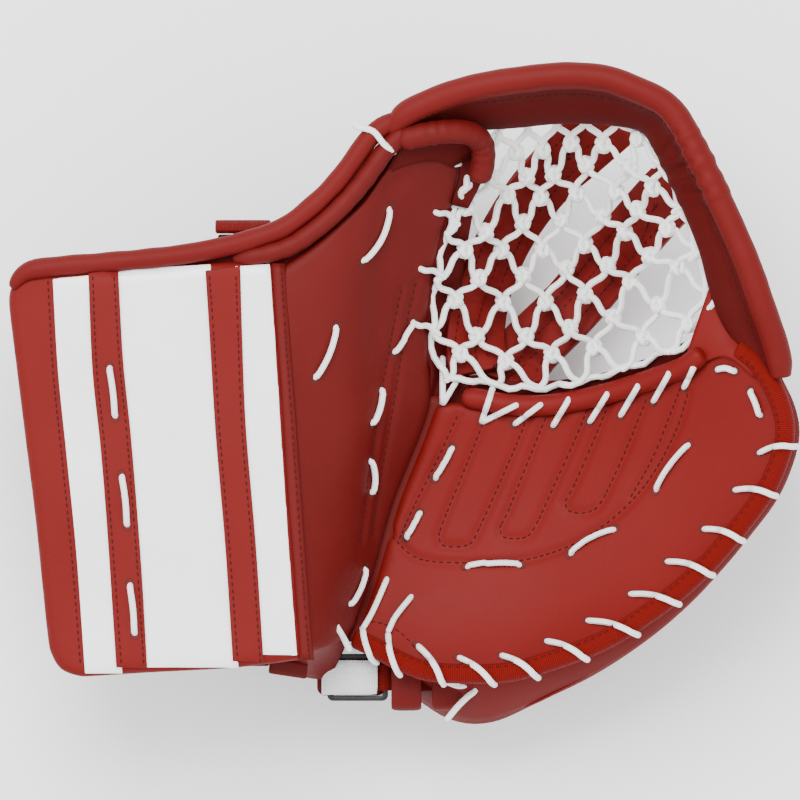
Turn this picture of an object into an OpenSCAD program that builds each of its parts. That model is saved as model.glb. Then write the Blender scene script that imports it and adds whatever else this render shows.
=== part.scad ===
// Goalie catch glove, lying open on its back with the pocket facing up.
// +Z is up, +X runs from the cuff to the rim, +Y from the heel to the top rim.
// The outlines below are drawn for the width, length and height given here
// and follow them when they change. Wall, cord and strap sizes stand alone.

/* [Overall] */
// Width of the open glove, from the cuff's free edge to the rim
glove_width = 386; // [320:1:470]
// Length of the open glove, from the heel straps to the top rim
glove_length = 325; // [270:1:395]
// Height of the open glove above what it lies on
glove_height = 145; // [120:1:176]

/* [Pads and shells] */
// Thickness of the padded palm
palm_pad = 14; // [9:0.5:18]
// How far the palm sinks below its edges
palm_dish = 9; // [0:0.5:12]
// Thickness of the padded thumb panel
thumb_pad = 14; // [9:0.5:18]
// Wall of the backhand shell and of the thumb shell
shell_wall = 9; // [6:0.5:12]
// Thickness of the hard plate on the back of the hand
plate_t = 5; // [3:0.5:7]
// Thickness of the foam inside the cuff
cuff_foam = 17; // [10:0.5:22]
// Leather skin on the front and the back of the cuff
cuff_skin = 2; // [1.2:0.1:3]
// Thickness of one stripe or band on the cuff
stripe_t = 1.2; // [0.8:0.1:2]
// Gap left at each seam between two pieces
seam = 0.4; // [0.3:0.05:0.8]

/* [Rims and rolls] */
// Radius of the front roll of the pocket rim
rim_r = 6; // [4:0.1:7.5]
// Thickness of the rim's inner wall
rim_wall = 7; // [4:0.5:9]
// Radius of each of the two rolls along the thumb
thumb_roll_r = 4; // [3:0.1:4.2]
// Radius of the rolled leather at the thumb's tip
tip_roll_r = 5.4; // [4:0.1:6]
// Radius of the roll on the palm's pocket edge
edge_roll_r = 4.8; // [3.5:0.1:5.4]
// Thickness of the tape that binds the edges
tape_t = 3; // [2:0.1:4]

/* [Laces and net] */
// Diameter of the leather and net laces
lace_d = 3.2; // [2.4:0.1:4]
// Diamonds across the net
net_cells = 5; // [3:1:7]
// How far the net sags below its edges
net_sag = 46; // [20:1:52]
// Width of each T strap behind the net
t_strap_w = 32; // [24:1:36]
// Thickness of a T strap
t_strap_t = 4; // [3:0.5:5]

/* [Straps and hardware] */
// Width of the elastic wrist strap
wrist_strap_w = 25; // [18:1:30]
// Thickness of the elastic wrist strap
wrist_strap_t = 2.6; // [1.8:0.1:3.2]
// Width of the hook-and-loop tab at the heel
tab_w = 17; // [12:0.5:20]
// Thickness of the tab and of the strap pieces beside it
tab_t = 2.4; // [1.6:0.1:3]
// Thickness of the wire of the square ring
ring_wire = 2.6; // [2:0.1:3.4]
// Slack between the ring and the straps that pass through it
ring_slack = 0.5; // [0.4:0.1:1]

/* [Hidden] */

// The outlines are drawn for a glove of this width, length and height.
drawn = [386, 325, 145];
fit = [glove_width / drawn.x, glove_length / drawn.y, glove_height / drawn.z];
function fitted(P) = [for (p = P) [p.x * fit.x, p.y * fit.y, p.z * fit.z]];

// Colours
red = [0.68, 0.21, 0.17];
deep_red = [0.53, 0.12, 0.08];
dark_red = [0.42, 0.09, 0.06];
white = [0.92, 0.92, 0.92];
grey = [0.35, 0.35, 0.36];
black = [0.12, 0.12, 0.13];

lace_r = lace_d / 2;
// How far a lace's middle runs above the leather it lies on
lace_lift = lace_r + 0.6;

// ---- curves and surfaces ----

function lerp(a, b, t) = a + (b - a) * t;
function unit(v) = v / max(norm(v), 1e-9);
function last(L) = L[len(L) - 1];
function rise(h) = [0, 0, h];

// Point at t, from 0 to 1, on a smooth curve through the points P
function curve(P, t) =
    let (n = len(P) - 1, s = t * n, i = max(0, min(n - 1, floor(s))), f = s - i,
         b = P[i], c = P[i + 1],
         a = i > 0 ? P[i - 1] : 2 * b - c,
         d = i + 2 <= n ? P[i + 2] : 2 * c - b)
    0.5 * (2 * b + (c - a) * f + (2 * a - 5 * b + 4 * c - d) * f * f
           + (3 * b - a - 3 * c + d) * f * f * f);

// n + 1 points evenly spaced along the smooth curve through P
function even(P, n) =
    let (m = (len(P) - 1) * 8,
         D = [for (i = [0:m]) curve(P, i / m)],
         L = [for (i = 0, s = 0; i <= m; s = s + (i < m ? norm(D[i + 1] - D[i]) : 0), i = i + 1) s])
    [for (k = [0:n])
        let (s = last(L) * k / n,
             i = max(1, min(m, len([for (l = L) if (l < s) 1]))))
        lerp(D[i - 1], D[i], (s - L[i - 1]) / (L[i] - L[i - 1]))];

// Point at t, from 0 to 1, on an evenly spaced line of points
function at(L, t) =
    let (n = len(L) - 1, s = t * n, i = max(0, min(n - 1, floor(s))))
    lerp(L[i], L[i + 1], s - i);

// Edges [south, north, west, east] of a four-sided surface, evenly spaced
edge_steps = 40;
function edges(s, n, w, e) = [for (P = [s, n, w, e]) even(fitted(P), edge_steps)];

// Point (u, v) of the surface that fills four edges
function patch(E, u, v) =
    lerp(at(E[0], u), at(E[1], u), v) + lerp(at(E[2], v), at(E[3], v), u)
    - lerp(lerp(E[0][0], last(E[0]), u), lerp(E[1][0], last(E[1]), u), v);

// The (u, v) at which the surface f passes over the place (x, y)
function seek(f, x, y, u = 0.5, v = 0.5, k = 9) =
    k == 0 ? [u, v] :
    let (h = 0.02, p = f(u, v),
         a = (f(u + h, v) - f(u - h, v)) / (2 * h),
         b = (f(u, v + h) - f(u, v - h)) / (2 * h),
         d = a.x * b.y - a.y * b.x,
         du = ((x - p.x) * b.y - (y - p.y) * b.x) / d,
         dv = ((y - p.y) * a.x - (x - p.x) * a.y) / d)
    seek(f, x, y, max(-0.1, min(1.1, u + du)), max(-0.1, min(1.1, v + dv)), k - 1);

// The drawn place q = [x, y] laid on the surface f and moved out by h, square to it
function on(f, q, h) =
    let (s = seek(f, q.x * fit.x, q.y * fit.y), u = s[0], v = s[1], e = 0.02,
         n = cross(f(u + e, v) - f(u - e, v), f(u, v + e) - f(u, v - e)))
    f(u, v) + h * unit(n);

// ---- solids ----

function quad(a, b, c, d) = [[a, b, c], [a, c, d]];

// Closed slab between a grid of points and the same grid lower down
module slab(top, bottom) {
    nu = len(top[0]);
    nv = len(top);
    low = nu * nv;
    function t(i, j) = j * nu + i;
    function b(i, j) = low + t(i, j);
    polyhedron(
        points = [for (G = [top, bottom]) for (row = G) each row],
        faces = [
            for (j = [0:nv - 2], i = [0:nu - 2])
                each quad(t(i, j), t(i, j + 1), t(i + 1, j + 1), t(i + 1, j)),
            for (j = [0:nv - 2], i = [0:nu - 2])
                each quad(b(i, j), b(i + 1, j), b(i + 1, j + 1), b(i, j + 1)),
            for (i = [0:nu - 2])
                each quad(t(i, 0), t(i + 1, 0), b(i + 1, 0), b(i, 0)),
            for (i = [0:nu - 2])
                each quad(t(i + 1, nv - 1), t(i, nv - 1), b(i, nv - 1), b(i + 1, nv - 1)),
            for (j = [0:nv - 2])
                each quad(t(0, j + 1), t(0, j), b(0, j), b(0, j + 1)),
            for (j = [0:nv - 2])
                each quad(t(nu - 1, j), t(nu - 1, j + 1), b(nu - 1, j + 1), b(nu - 1, j))
        ]);
}

// Grid of nu by nv points of the surface f between two corners in (u, v), h above it
function grid(f, nu, nv, h = 0, lo = [0, 0], hi = [1, 1]) =
    [for (j = [0:nv]) [for (i = [0:nu])
        f(lerp(lo[0], hi[0], i / nu), lerp(lo[1], hi[1], j / nv)) + rise(h)]];

// Faces of a closed skin over n rings of m points, the first being point k
function skin_faces(n, m, k) =
    [for (i = [0:n - 2], j = [0:m - 1])
        let (q = (j + 1) % m, a = k + i * m, b = a + m)
        each quad(a + j, b + j, b + q, a + q),
     for (j = [1:m - 2]) [k, k + j, k + j + 1],
     for (j = [1:m - 2]) let (e = k + (n - 1) * m) [e, e + j + 1, e + j]];

// One solid for each skin of the list S, where a skin is a list of rings
module skins(S) {
    m = [for (R = S) len(R[0])];
    n = [for (R = S) len(R)];
    k = [for (i = 0, s = 0; i < len(S); s = s + n[i] * m[i], i = i + 1) s];
    polyhedron(
        points = [for (R = S) for (ring = R) each ring],
        faces = [for (i = [0:len(S) - 1]) each skin_faces(n[i], m[i], k[i])]);
}

function tangent(P, i) = unit(P[min(len(P) - 1, i + 1)] - P[max(0, i - 1)]);

// Rings of a section swept along P. The section's first axis follows `across`.
function swept(P, across, section) =
    [for (i = [0:len(P) - 1])
        let (t = tangent(P, i),
             g = is_list(across[0]) ? across[i] : across,
             a = unit(g - (g * t) * t), b = cross(t, a))
        [for (q = section) P[i] + q.x * a + q.y * b]];

function round_section(r, sides) =
    [for (j = [0:sides - 1]) r * [cos(360 * j / sides), sin(360 * j / sides)]];
function flat_section(w, t) = [[-w / 2, -t / 2], [w / 2, -t / 2], [w / 2, t / 2], [-w / 2, t / 2]];

// Rings of a round cord along P, whose sides turn as little as possible
function cord(P, r, sides = 6) =
    let (G = [for (i = 0, g = cross(tangent(P, 0), [0.3, 0.2, 1]); i < len(P);
                   i = i + 1, g = i < len(P) ? g - (g * tangent(P, i)) * tangent(P, i) : g) g])
    swept(P, G, round_section(r, sides));

// One stitch of lace lying on the surface f from a to b, both [x, y]
function stitch(f, a, b) =
    cord([for (s = [0:0.25:1]) on(f, lerp(a, b, s), lace_lift)], lace_r, 5);

// Outline moved sideways by d in plan, to the right of its direction
function shifted(P, d) =
    [for (i = [0:len(P) - 1])
        let (t = tangent(P, i), s = unit([t.y, -t.x, 0])) P[i] + d * s];

// Puts the middle of the glove's footprint at the origin
footprint_shift = [0.14 * fit.x, -2.95 * fit.y, 0];
module placed() translate(footprint_shift) children();

// ---- palm ----

crease = [[-24, -117, 80], [-19, -104, 72], [-13, -86, 67], [-8, -69, 65], [-2, -49, 64],
          [5, -32, 64], [12, -15, 65], [17, 0, 67]];
palm_heel = [[-24, -117, 80], [-12, -121, 83], [0, -126, 85], [15, -130, 88], [34, -131, 92],
             [54, -130, 96], [75, -124, 101], [96, -116, 106], [115, -105, 110],
             [134, -91, 114], [150, -76, 117], [164, -61, 120]];
palm_side = [[164, -61, 120], [177, -45, 122], [184.5, -30, 124], [188, -16, 125],
             [186, -4, 125], [180, 9, 124], [172, 19, 122], [161, 26, 119]];
palm_pocket = [[17, 0, 67], [34, -1, 69], [49, -4, 71], [64, -5, 74], [78, -4, 77],
               [98, 0, 84], [118, 6, 93], [132, 11, 101], [142, 15, 107], [151, 22, 113],
               [161, 26, 119]];
palm_edges = edges(palm_heel, palm_pocket, crease, palm_side);
palm_at = function (u, v)
    patch(palm_edges, u, v) - rise(palm_dish * sin(180 * u) * sin(180 * v));

module palm_panel() placed() color(red) {
    lo = [0.004, 0];
    slab(grid(palm_at, 20, 12, 0, lo), grid(palm_at, 20, 12, -palm_pad, lo));
}

// The whole edge of the palm from the heel round to the pocket corner
palm_rim = even(fitted(concat(palm_heel, [for (i = [1:len(palm_side) - 1]) palm_side[i]])), 30);
tape_h = palm_pad + 2;

module palm_binding() placed() color(deep_red) {
    path = [for (p = shifted(palm_rim, tape_t / 2 + seam)) p + rise(-palm_pad / 2)];
    skins([swept([for (i = [2:28]) path[i]], [0, 0, 1], flat_section(tape_h, tape_t))]);
}

// Rolled edge between the palm and the pocket
edge_roll_path = [for (p = shifted(even(fitted(palm_pocket), 24), -edge_roll_r - seam))
    p + rise(0.5)];
module palm_edge_roll() placed() color(red)
    skins([cord([for (i = [2:22]) edge_roll_path[i]], edge_roll_r, 8)]);

lining_t = 3;
module palm_lining() placed() color(grey) {
    lo = [0.05, 0.12];
    hi = [0.86, 0.92];
    back = -palm_pad - seam;
    slab(grid(palm_at, 12, 8, back, lo, hi), grid(palm_at, 12, 8, back - lining_t, lo, hi));
}

// ---- backhand ----

shell_crease = [[-14, -117, 40], [-10, -100, 39], [-6, -85, 38], [-2, -68, 37], [4, -50, 37],
                [10, -34, 37], [17, -18, 38], [23, -7, 40]];
shell_heel = [[-14, -117, 40], [-4, -128, 41], [10, -140, 43], [27, -151, 46], [44, -152, 52],
              [60, -147, 61], [79, -137, 72], [98, -126, 81], [117, -112, 89],
              [136, -96, 96], [152, -79, 100], [166, -62, 103]];
shell_side = [[166, -62, 103], [178, -46, 105], [185, -31, 107], [188.5, -17, 108],
              [186.5, -5, 108], [181, 8, 107], [172, 17, 105], [160, 22, 102]];
shell_pocket = [[23, -7, 40], [34, -7, 44], [49, -10, 48], [64, -11, 52], [78, -10, 57],
                [98, -6, 65], [118, 0, 75], [132, 5, 84], [142, 9, 90], [151, 16, 97],
                [160, 22, 102]];
shell_edges = edges(shell_heel, shell_pocket, shell_crease, shell_side);

// Rises from 0 at an edge to 1 at k of the way in
function settle(t, k) = sin(90 * min(1, max(0, t) / k));
// Lowest level of the backhand's lining, above its wall and the plate
shell_floor = plate_t + shell_wall;
// Inner face of the shell: a bowl, open at the crease where the hand goes in
shell_at = function (u, v)
    let (p = patch(shell_edges, u, v),
         w = settle(v, 0.5) * settle(1 - u, 0.55) * (0.35 + 0.65 * settle(1 - v, 0.3)))
    [p.x, p.y, lerp(p.z, shell_floor, w)];

module backhand_shell() placed() color(deep_red)
    slab(grid(shell_at, 20, 14), grid(shell_at, 20, 14, -shell_wall));

shell_rim = even(fitted(concat(shell_heel, [for (i = [1:len(shell_side) - 1]) shell_side[i]])), 30);
shell_tape_h = shell_wall + 4;
module backhand_binding() placed() color(dark_red) {
    path = [for (p = shifted(shell_rim, tape_t / 2 + seam)) p + rise(-shell_wall / 2 - 1)];
    skins([swept([for (i = [0:27]) path[i]], [0, 0, 1], flat_section(shell_tape_h, tape_t))]);
}

// Hard plate under the back of the hand, on which the glove rests
plate_centre = [62 * fit.x, -58 * fit.y];
plate_size = [76, 54];
plate_corner = 12;
module backhand_plate() placed() color(black)
    translate([plate_centre.x, plate_centre.y, 0])
        linear_extrude(plate_t - seam)
            rounded(plate_size, plate_corner);

module rounded(size, r) {
    square([size.x - 2 * r, size.y], center = true);
    square([size.x, size.y - 2 * r], center = true);
    for (x = [-1, 1], y = [-1, 1])
        translate([x * (size.x / 2 - r), y * (size.y / 2 - r)]) circle(r = r, $fn = 48);
}

// Wall between the palm and the backhand, on the pocket side
gusset_t = 3;
module finger_gusset() placed() color(dark_red) {
    n = 20;
    top = even(fitted(palm_pocket), n);
    low = even(fitted(shell_pocket), n);
    rings = [for (i = [1:n])
        let (t = tangent(top, i), s = unit([-t.y, t.x, 0]),
             a = top[i] + seam * s + rise(-palm_pad - seam),
             f = low[i] + seam * s + rise(1 - shell_wall),
             b = [f.x, f.y, min(f.z, a.z - 3)])
        [b, b + gusset_t * s, a + gusset_t * s, a]];
    skins([rings]);
}

// Elastic band that holds the back of the hand against the palm
hand_strap_w = 30;
module hand_strap() placed() color(black) {
    x = 52 * fit.x;
    y0 = -104 * fit.y;
    y1 = -28 * fit.y;
    span = [for (i = [0:12])
        let (s = i / 12, y = lerp(y0, y1, s), q = seek(palm_at, x, y))
        [x, y, palm_at(q[0], q[1]).z - palm_pad - lining_t - 3.5 - 20 * sin(180 * s)]];
    skins([swept(span, [1, 0, 0], flat_section(hand_strap_w, 2))]);
}

// ---- pocket rim ----

top_rim_front = [[-2, 134, 129], [3, 140, 131], [22, 148, 133], [40, 153, 134], [59, 156, 135],
                 [80, 159, 136], [100, 157.5, 137], [114, 153, 138], [121, 150, 138]];
top_rim_back = [[2, 132, 114], [8, 134, 106], [22, 136, 101], [39, 137, 99], [56, 139, 99],
                [76, 141, 100], [94, 142, 102], [108, 141, 105], [115, 141, 108]];
side_rim_front = [[134, 140, 138], [140, 129, 138], [151, 108, 138], [162, 86, 137],
                  [171, 65, 136], [178, 45, 133], [182, 31, 128]];
side_rim_back = [[125, 131, 112], [129, 122, 115], [136, 106, 117], [143, 90, 118],
                 [149, 73, 117], [153, 56, 114], [156, 42, 110]];

// Rings of a padded rim: a round roll in front and a wall going down to the back
function rim_rings(front, back, n) =
    let (F = even(fitted(front), n), B = even(fitted(back), n))
    [for (i = [0:n])
        let (t = tangent(F, i), e = unit((B[i] - F[i]) - ((B[i] - F[i]) * t) * t),
             o = cross(e, t), c = F[i], b = B[i])
        concat(
            [for (k = [0:5]) let (g = 180 - 36 * k) c + rim_r * (cos(g) * o - sin(g) * e)],
            [b + rim_wall / 2 * o, b - rim_wall / 2 * o])];

module top_rim() placed() color(deep_red)
    skins([rim_rings(top_rim_front, top_rim_back, 18)]);
module side_rim() placed() color(red)
    skins([rim_rings(side_rim_front, side_rim_back, 14)]);

// Soft corner where the rim folds as the glove shuts
module rim_corner() placed() color(deep_red) {
    path = even(fitted([[122, 149.5, 137], [128, 146.5, 137], [133.4, 141, 137]]), 6);
    skins([cord([for (i = [0:6]) path[i] + rise(0)], rim_r - 1, 8)]);
}

// ---- net and T straps ----

net_heel = [[25, 12, 68], [36, 11, 69], [49, 8, 71], [64, 7, 74], [78, 8, 78], [96, 12, 85],
            [114, 18, 94], [127, 23, 101], [137, 27, 106], [150, 34, 108]];
net_top = [[37, 122, 96], [53, 131, 94], [69, 134, 95], [84, 136, 97], [100, 136, 99],
           [113, 135, 102], [120, 135, 106]];
net_thumb = [[25, 12, 68], [20, 22, 71], [20, 39, 75], [22, 59, 81], [26, 78, 87],
             [32, 96, 92], [36, 110, 95], [37, 122, 96]];
net_side = [[150, 34, 108], [148, 44, 109], [147, 56, 110], [143, 73, 113], [137, 90, 114],
            [130, 106, 113], [124, 121, 111], [120, 135, 106]];
net_edges = edges(net_heel, net_top, net_thumb, net_side);
net_at = function (u, v)
    patch(net_edges, u, v) - rise(net_sag * settle(u, 0.5) * settle(1 - u, 0.5)
                                  * settle(v, 0.45) * settle(1 - v, 0.5));

// Points of one slanting net cord, which runs to the right for way 1 and left for -1
function net_cord(c, way) =
    let (a = max(0.02, c - 0.98), b = min(0.98, c - 0.02), n = max(2, round((b - a) * 12)))
    [for (i = [0:n])
        let (s = lerp(a, b, i / n))
        net_at(way > 0 ? s : 1 - s, c - s) + rise(way * (lace_r + 0.15))];

// The two families of net cords cross, one just above the other
module pocket_net() placed() color(white)
    skins([for (way = [-1, 1], k = [0:2 * net_cells - 1])
        cord(net_cord((k + 0.5) / net_cells, way), lace_r, 5)]);

// The straps hang clear of the net and lie along it
strap_drop = 8;
strap_gap = t_strap_t + 1.5;
t_strap_left_line = [[41, 17, 0], [40, 32, 0], [46, 54, 0], [56, 78, 0], [71, 101, 0], [86, 117, 0],
                     [93, 124, 0]];
t_strap_right_line = [[54, 16, 0], [62, 30, 0], [78, 47, 0], [91, 62, 0], [108, 82, 0], [120, 95, 0],
                      [126, 101, 0]];
module t_strap(line, drop) {
    plan = even(line, 14);
    side = [for (i = [0:14]) let (t = tangent(plan, i)) 9 * [t.y, -t.x, 0]];
    path = [for (p = plan) on(net_at, p, -drop)];
    across = [for (i = [0:14])
        on(net_at, plan[i] + side[i], 0) - on(net_at, plan[i] - side[i], 0)];
    skins([swept(path, across, flat_section(t_strap_w, t_strap_t))]);
}
module t_strap_left() placed() color(red) t_strap(t_strap_left_line, strap_drop);
module t_strap_right() placed() color(red) t_strap(t_strap_right_line, strap_drop + strap_gap);

// ---- laces on the palm side ----

palm_stitches = [[[26, -26], [18, -39]], [[10, -55], [4, -67]], [[32, -82], [59, -82]],
                 [[83, -75], [105, -64]], [[125, -45], [141, -23]], [[156, 15], [163, 14]],
                 [[171, 3], [175, -8]]];
module palm_laces() placed() color(white)
    skins([for (s = palm_stitches) stitch(palm_at, s[0], s[1])]);

// Laces from the palm over the rolled edge and down to the net
edge_lace_places = [0.17, 0.26, 0.35, 0.44, 0.53, 0.63, 0.72, 0.81, 0.9];
pocket_line = even(fitted(palm_pocket), 40);
function edge_lace(t) =
    let (p = at(pocket_line, t), k = at(pocket_line, t + 0.03) - p,
         s = unit([-k.y, k.x, 0]), r = edge_roll_r + lace_lift + 0.5,
         c = p + (edge_roll_r + seam) * s + rise(0.5))
    concat([p - s * 6 + rise(lace_lift + 0.4)],
           [for (g = [150:-30:0]) c + r * (cos(g) * s + rise(sin(g)))]);
module edge_laces() placed() color(white)
    skins([for (t = edge_lace_places) cord(edge_lace(t), lace_r, 5)]);

// Lace through the palm's rim and over its binding
perimeter_places = [for (k = [0:9]) 0.1 + 0.088 * k];
function rim_stitch(t) =
    let (p = at(palm_rim, t), k = at(palm_rim, t + 0.02) - p,
         s = unit([k.y, -k.x, 0]), w = tape_t + seam, l = unit(k) * -4)
    [p - s * 5 + rise(lace_lift + 0.2), p + rise(lace_lift + 1.2) + l / 2,
     p + s * (w + 1) + rise(lace_lift + 1.1) + l,
     p + s * (w + lace_lift + 0.6) + rise(-1.5) + l * 1.2,
     p + s * (w + lace_lift + 0.6) + rise(-6) + l * 1.3];
module perimeter_lace() placed() color(white)
    skins([for (t = perimeter_places) cord(rim_stitch(t), lace_r, 5)]);

// Short laces that tie the net to the thumb side and to the rim
function net_tie(E, t) =
    let (p = at(E, t), k = unit(at(E, t + 0.03) - p))
    [for (s = [-1:0.5:1]) p + k * s * 6 + rise(-2 * s * s + 6)];
module rim_laces() placed() color(white)
    skins([for (t = [0.25, 0.5, 0.75]) cord(net_tie(net_edges[2], t), lace_r, 5),
           for (t = [0.2, 0.45, 0.7]) cord(net_tie(net_edges[3], t), lace_r, 5)]);

// ---- straps at the heel ----

strap_level = 62 * fit.z;
strap_y = -136.5 * fit.y;
buckle_x = -21 * fit.x;
// The square ring, long enough for the tab and wide enough for its strap
ring_long = 30;
ring_wide = tab_w + 2 * ring_wire + 2 * ring_slack;
// Middle of the ring's two short bars
bar_left = buckle_x - ring_long / 2 + ring_wire / 2;
bar_right = buckle_x + ring_long / 2 - ring_wire / 2;
// A strap end is folded round a bar, which is square, with slack at its corners
fold_in = ring_wire * sqrt(2) / 2 + ring_slack;
fold_out = fold_in + tab_t * 0.7;

module heel_ring() color(black) placed()
    translate([buckle_x, strap_y, strap_level - ring_wire / 2])
        linear_extrude(ring_wire) difference() {
            rounded([ring_long, ring_wide], 3);
            rounded([ring_long - 2 * ring_wire, ring_wide - 2 * ring_wire], 1.2);
        }

// Strap of width w that is folded round a bar at the origin; its outline is `tail`
module folded(w, tail) rotate([90, 0, 0])
    linear_extrude(w, center = true) difference() {
        union() {
            circle(r = fold_out, $fn = 48);
            polygon(tail);
        }
        circle(r = fold_in, $fn = 48);
    }

tab_long = 23.5;
module heel_tab() color(white) placed()
    translate([bar_left, strap_y, strap_level])
        folded(tab_w, [[0, fold_in + 0.05], [tab_long, ring_wire / 2 + 0.4],
                       [tab_long, ring_wire / 2 + 0.4 + tab_t], [4, fold_out], [0, fold_out - 0.01]]);

webbing_w = 13;
webbing_end = 38 * fit.x;
module loop_webbing() color(dark_red) placed()
    translate([bar_right, strap_y, strap_level])
        folded(webbing_w, let (e = webbing_end - bar_right)
               [[fold_in + 0.05, tab_t], [e, tab_t], [e, -tab_t], [fold_in + 0.05, -tab_t]]);

// A flat leather loop that stands round the webbing
loop_t = 2.2;
loop_w = 10;
module heel_loop(x) placed() {
    high = tab_t + loop_t / 2 + seam;
    wide = webbing_w / 2 + loop_t / 2 + 1.2;
    turn = [for (g = [-165:22:165])
        [x * fit.x, strap_y - wide * cos(g), strap_level + high * 1.12 * sin(g)
         * (1 + 0.5 * pow(cos(g), 2))]];
    skins([swept(turn, [1, 0, 0], flat_section(loop_w, loop_t))]);
}
module strap_loop_left() color(deep_red) heel_loop(3);
module strap_loop_right() color(deep_red) heel_loop(23);

// Leather base behind the buckle
module buckle_base() color(dark_red) placed()
    translate([buckle_x - 3, strap_y + 0.5, strap_level - fold_out - 0.5 - 2.4])
        linear_extrude(2.4) rounded([ring_long + 4, tab_w + 2], 4);

// Lace knotted at the end of the webbing, with a short tail
tie_points = [[25, -140, 8], [31, -139, 8.5], [37, -142, 8], [35, -148, 7], [29, -153, 6.5], [24, -158, 7]];
module tie_lace() placed() color(white)
    skins([cord(even([for (p = tie_points) [p.x * fit.x, p.y * fit.y, strap_level + p.z]], 14),
                lace_r, 6)]);

// ---- cuff ----

cuff_heel = [[-156, -134, 0], [-122, -131.5, 0], [-81, -129, 0], [-49.5, -125, 0]];
cuff_crown = [[-174, 59, 0], [-137, 61.5, 0], [-108, 64, 0], [-84, 66, 0], [-63, 65, 0]];
cuff_free = [[-156, -134, 0], [-165, -131, 0], [-170, -125, 0], [-172, -116, 0], [-178, -60, 0],
             [-183, -20, 0], [-188, 20, 0], [-190.5, 38, 0], [-189.5, 48, 0], [-184, 55.5, 0],
             [-174, 59, 0]];
cuff_thumb = [[-49.5, -125, 0], [-51.5, -98, 0], [-57.5, -20, 0], [-61.5, 35, 0], [-63, 65, 0]];
cuff_edges = edges(cuff_heel, cuff_crown, cuff_free, cuff_thumb);
// The cuff bends slightly down towards its free edge
cuff_level = 126;
cuff_bend = 0.00058;
function cuff_height(x) = fit.z * (cuff_level - cuff_bend * pow(x / fit.x + 50, 2));
cuff_at = function (u, v)
    let (p = patch(cuff_edges, u, v)) [p.x, p.y, cuff_height(p.x)];

cuff_core_top = -cuff_skin - 0.2;
cuff_liner_top = cuff_core_top - cuff_foam - 0.2;
cuff_total = cuff_skin * 2 + cuff_foam + 0.4;

module cuff_cover() placed() color(red)
    slab(grid(cuff_at, 10, 12), grid(cuff_at, 10, 12, -cuff_skin));
module cuff_core() placed() color(grey)
    slab(grid(cuff_at, 10, 12, cuff_core_top), grid(cuff_at, 10, 12, cuff_core_top - cuff_foam));
module cuff_liner() placed() color(black)
    slab(grid(cuff_at, 10, 12, cuff_liner_top), grid(cuff_at, 10, 12, cuff_liner_top - cuff_skin));

// Leather that closes the cuff's three free sides
module cuff_edge() placed() color(red) {
    around = concat([for (i = [edge_steps:-2:0]) cuff_edges[0][i]],
                    [for (i = [2:1:edge_steps - 1]) cuff_edges[2][i]],
                    [for (i = [0:2:edge_steps - 10]) cuff_edges[1][i]]);
    wall = 2.4;
    path = [for (p = shifted(around, -wall / 2 - seam))
        [p.x, p.y, cuff_height(p.x) - cuff_total / 2]];
    skins([swept(path, [0, 0, 1], flat_section(cuff_total - 0.4, wall))]);
}

// A strip on the cuff between two bowed lines from the heel to the crown
function cuff_strip(a, b, h, t) =
    let (A = even([for (p = a) [p[0] * fit.x, p[1] * fit.y, 0]], 10),
         B = even([for (p = b) [p[0] * fit.x, p[1] * fit.y, 0]], 10))
    [for (z = [h + t, h]) [for (j = [0:10]) [for (i = [0:3])
        let (p = lerp(A[j], B[j], i / 3)) [p.x, p.y, cuff_height(p.x) + z]]]];
module cuff_strip_slab(a, b, h, t) {
    s = cuff_strip(a, b, h, t);
    slab(s[0], s[1]);
}
// Lines down the cuff, from its heel to its crown
line_a = [[-153.5, -132], [-158, -74], [-163, -24], [-167, 15], [-169.5, 57]];
line_b = [[-138, -131], [-142, -74], [-146, -24], [-150, 15], [-152, 58]];
line_c = [[-123, -130], [-126, -83], [-131, -20], [-135, 20], [-137.5, 59.5]];
line_d = [[-81, -128], [-85, -74], [-90, -15], [-93, 34], [-95, 63]];
line_e = [[-66, -126], [-70, -74], [-75, -15], [-77, 34], [-78, 64.5]];
line_f = [[-51.5, -124], [-54, -85], [-59, -20], [-62, 34], [-64.5, 63.5]];
stripe_level = 0.15;
band_level = stripe_level + stripe_t + 0.15;
lap = 2.5;
function moved(L, dx) = [for (p = L) [p[0] + dx, p[1]]];
module cuff_stripe_left() placed() color(white)
    cuff_strip_slab(line_a, moved(line_b, lap), stripe_level, stripe_t);
module cuff_stripe_middle() placed() color(white)
    cuff_strip_slab(moved(line_c, -lap), moved(line_d, lap), stripe_level, stripe_t);
module cuff_stripe_right() placed() color(white)
    cuff_strip_slab(moved(line_e, -lap), line_f, stripe_level, stripe_t);
module cuff_band_left() placed() color(red)
    cuff_strip_slab(line_b, line_c, band_level, stripe_t);
module cuff_band_right() placed() color(red)
    cuff_strip_slab(line_d, line_e, band_level, stripe_t);

cuff_stitches = [[[-142, 17], [-138.5, -10]], [[-136, -36], [-133.2, -62]],
                 [[-131.5, -89], [-129.5, -115]]];
module cuff_laces() placed() color(white) {
    lift = function (u, v) cuff_at(u, v) + rise(band_level + stripe_t);
    skins([for (s = cuff_stitches) stitch(lift, s[0], s[1])]);
}

// ---- thumb ----

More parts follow.
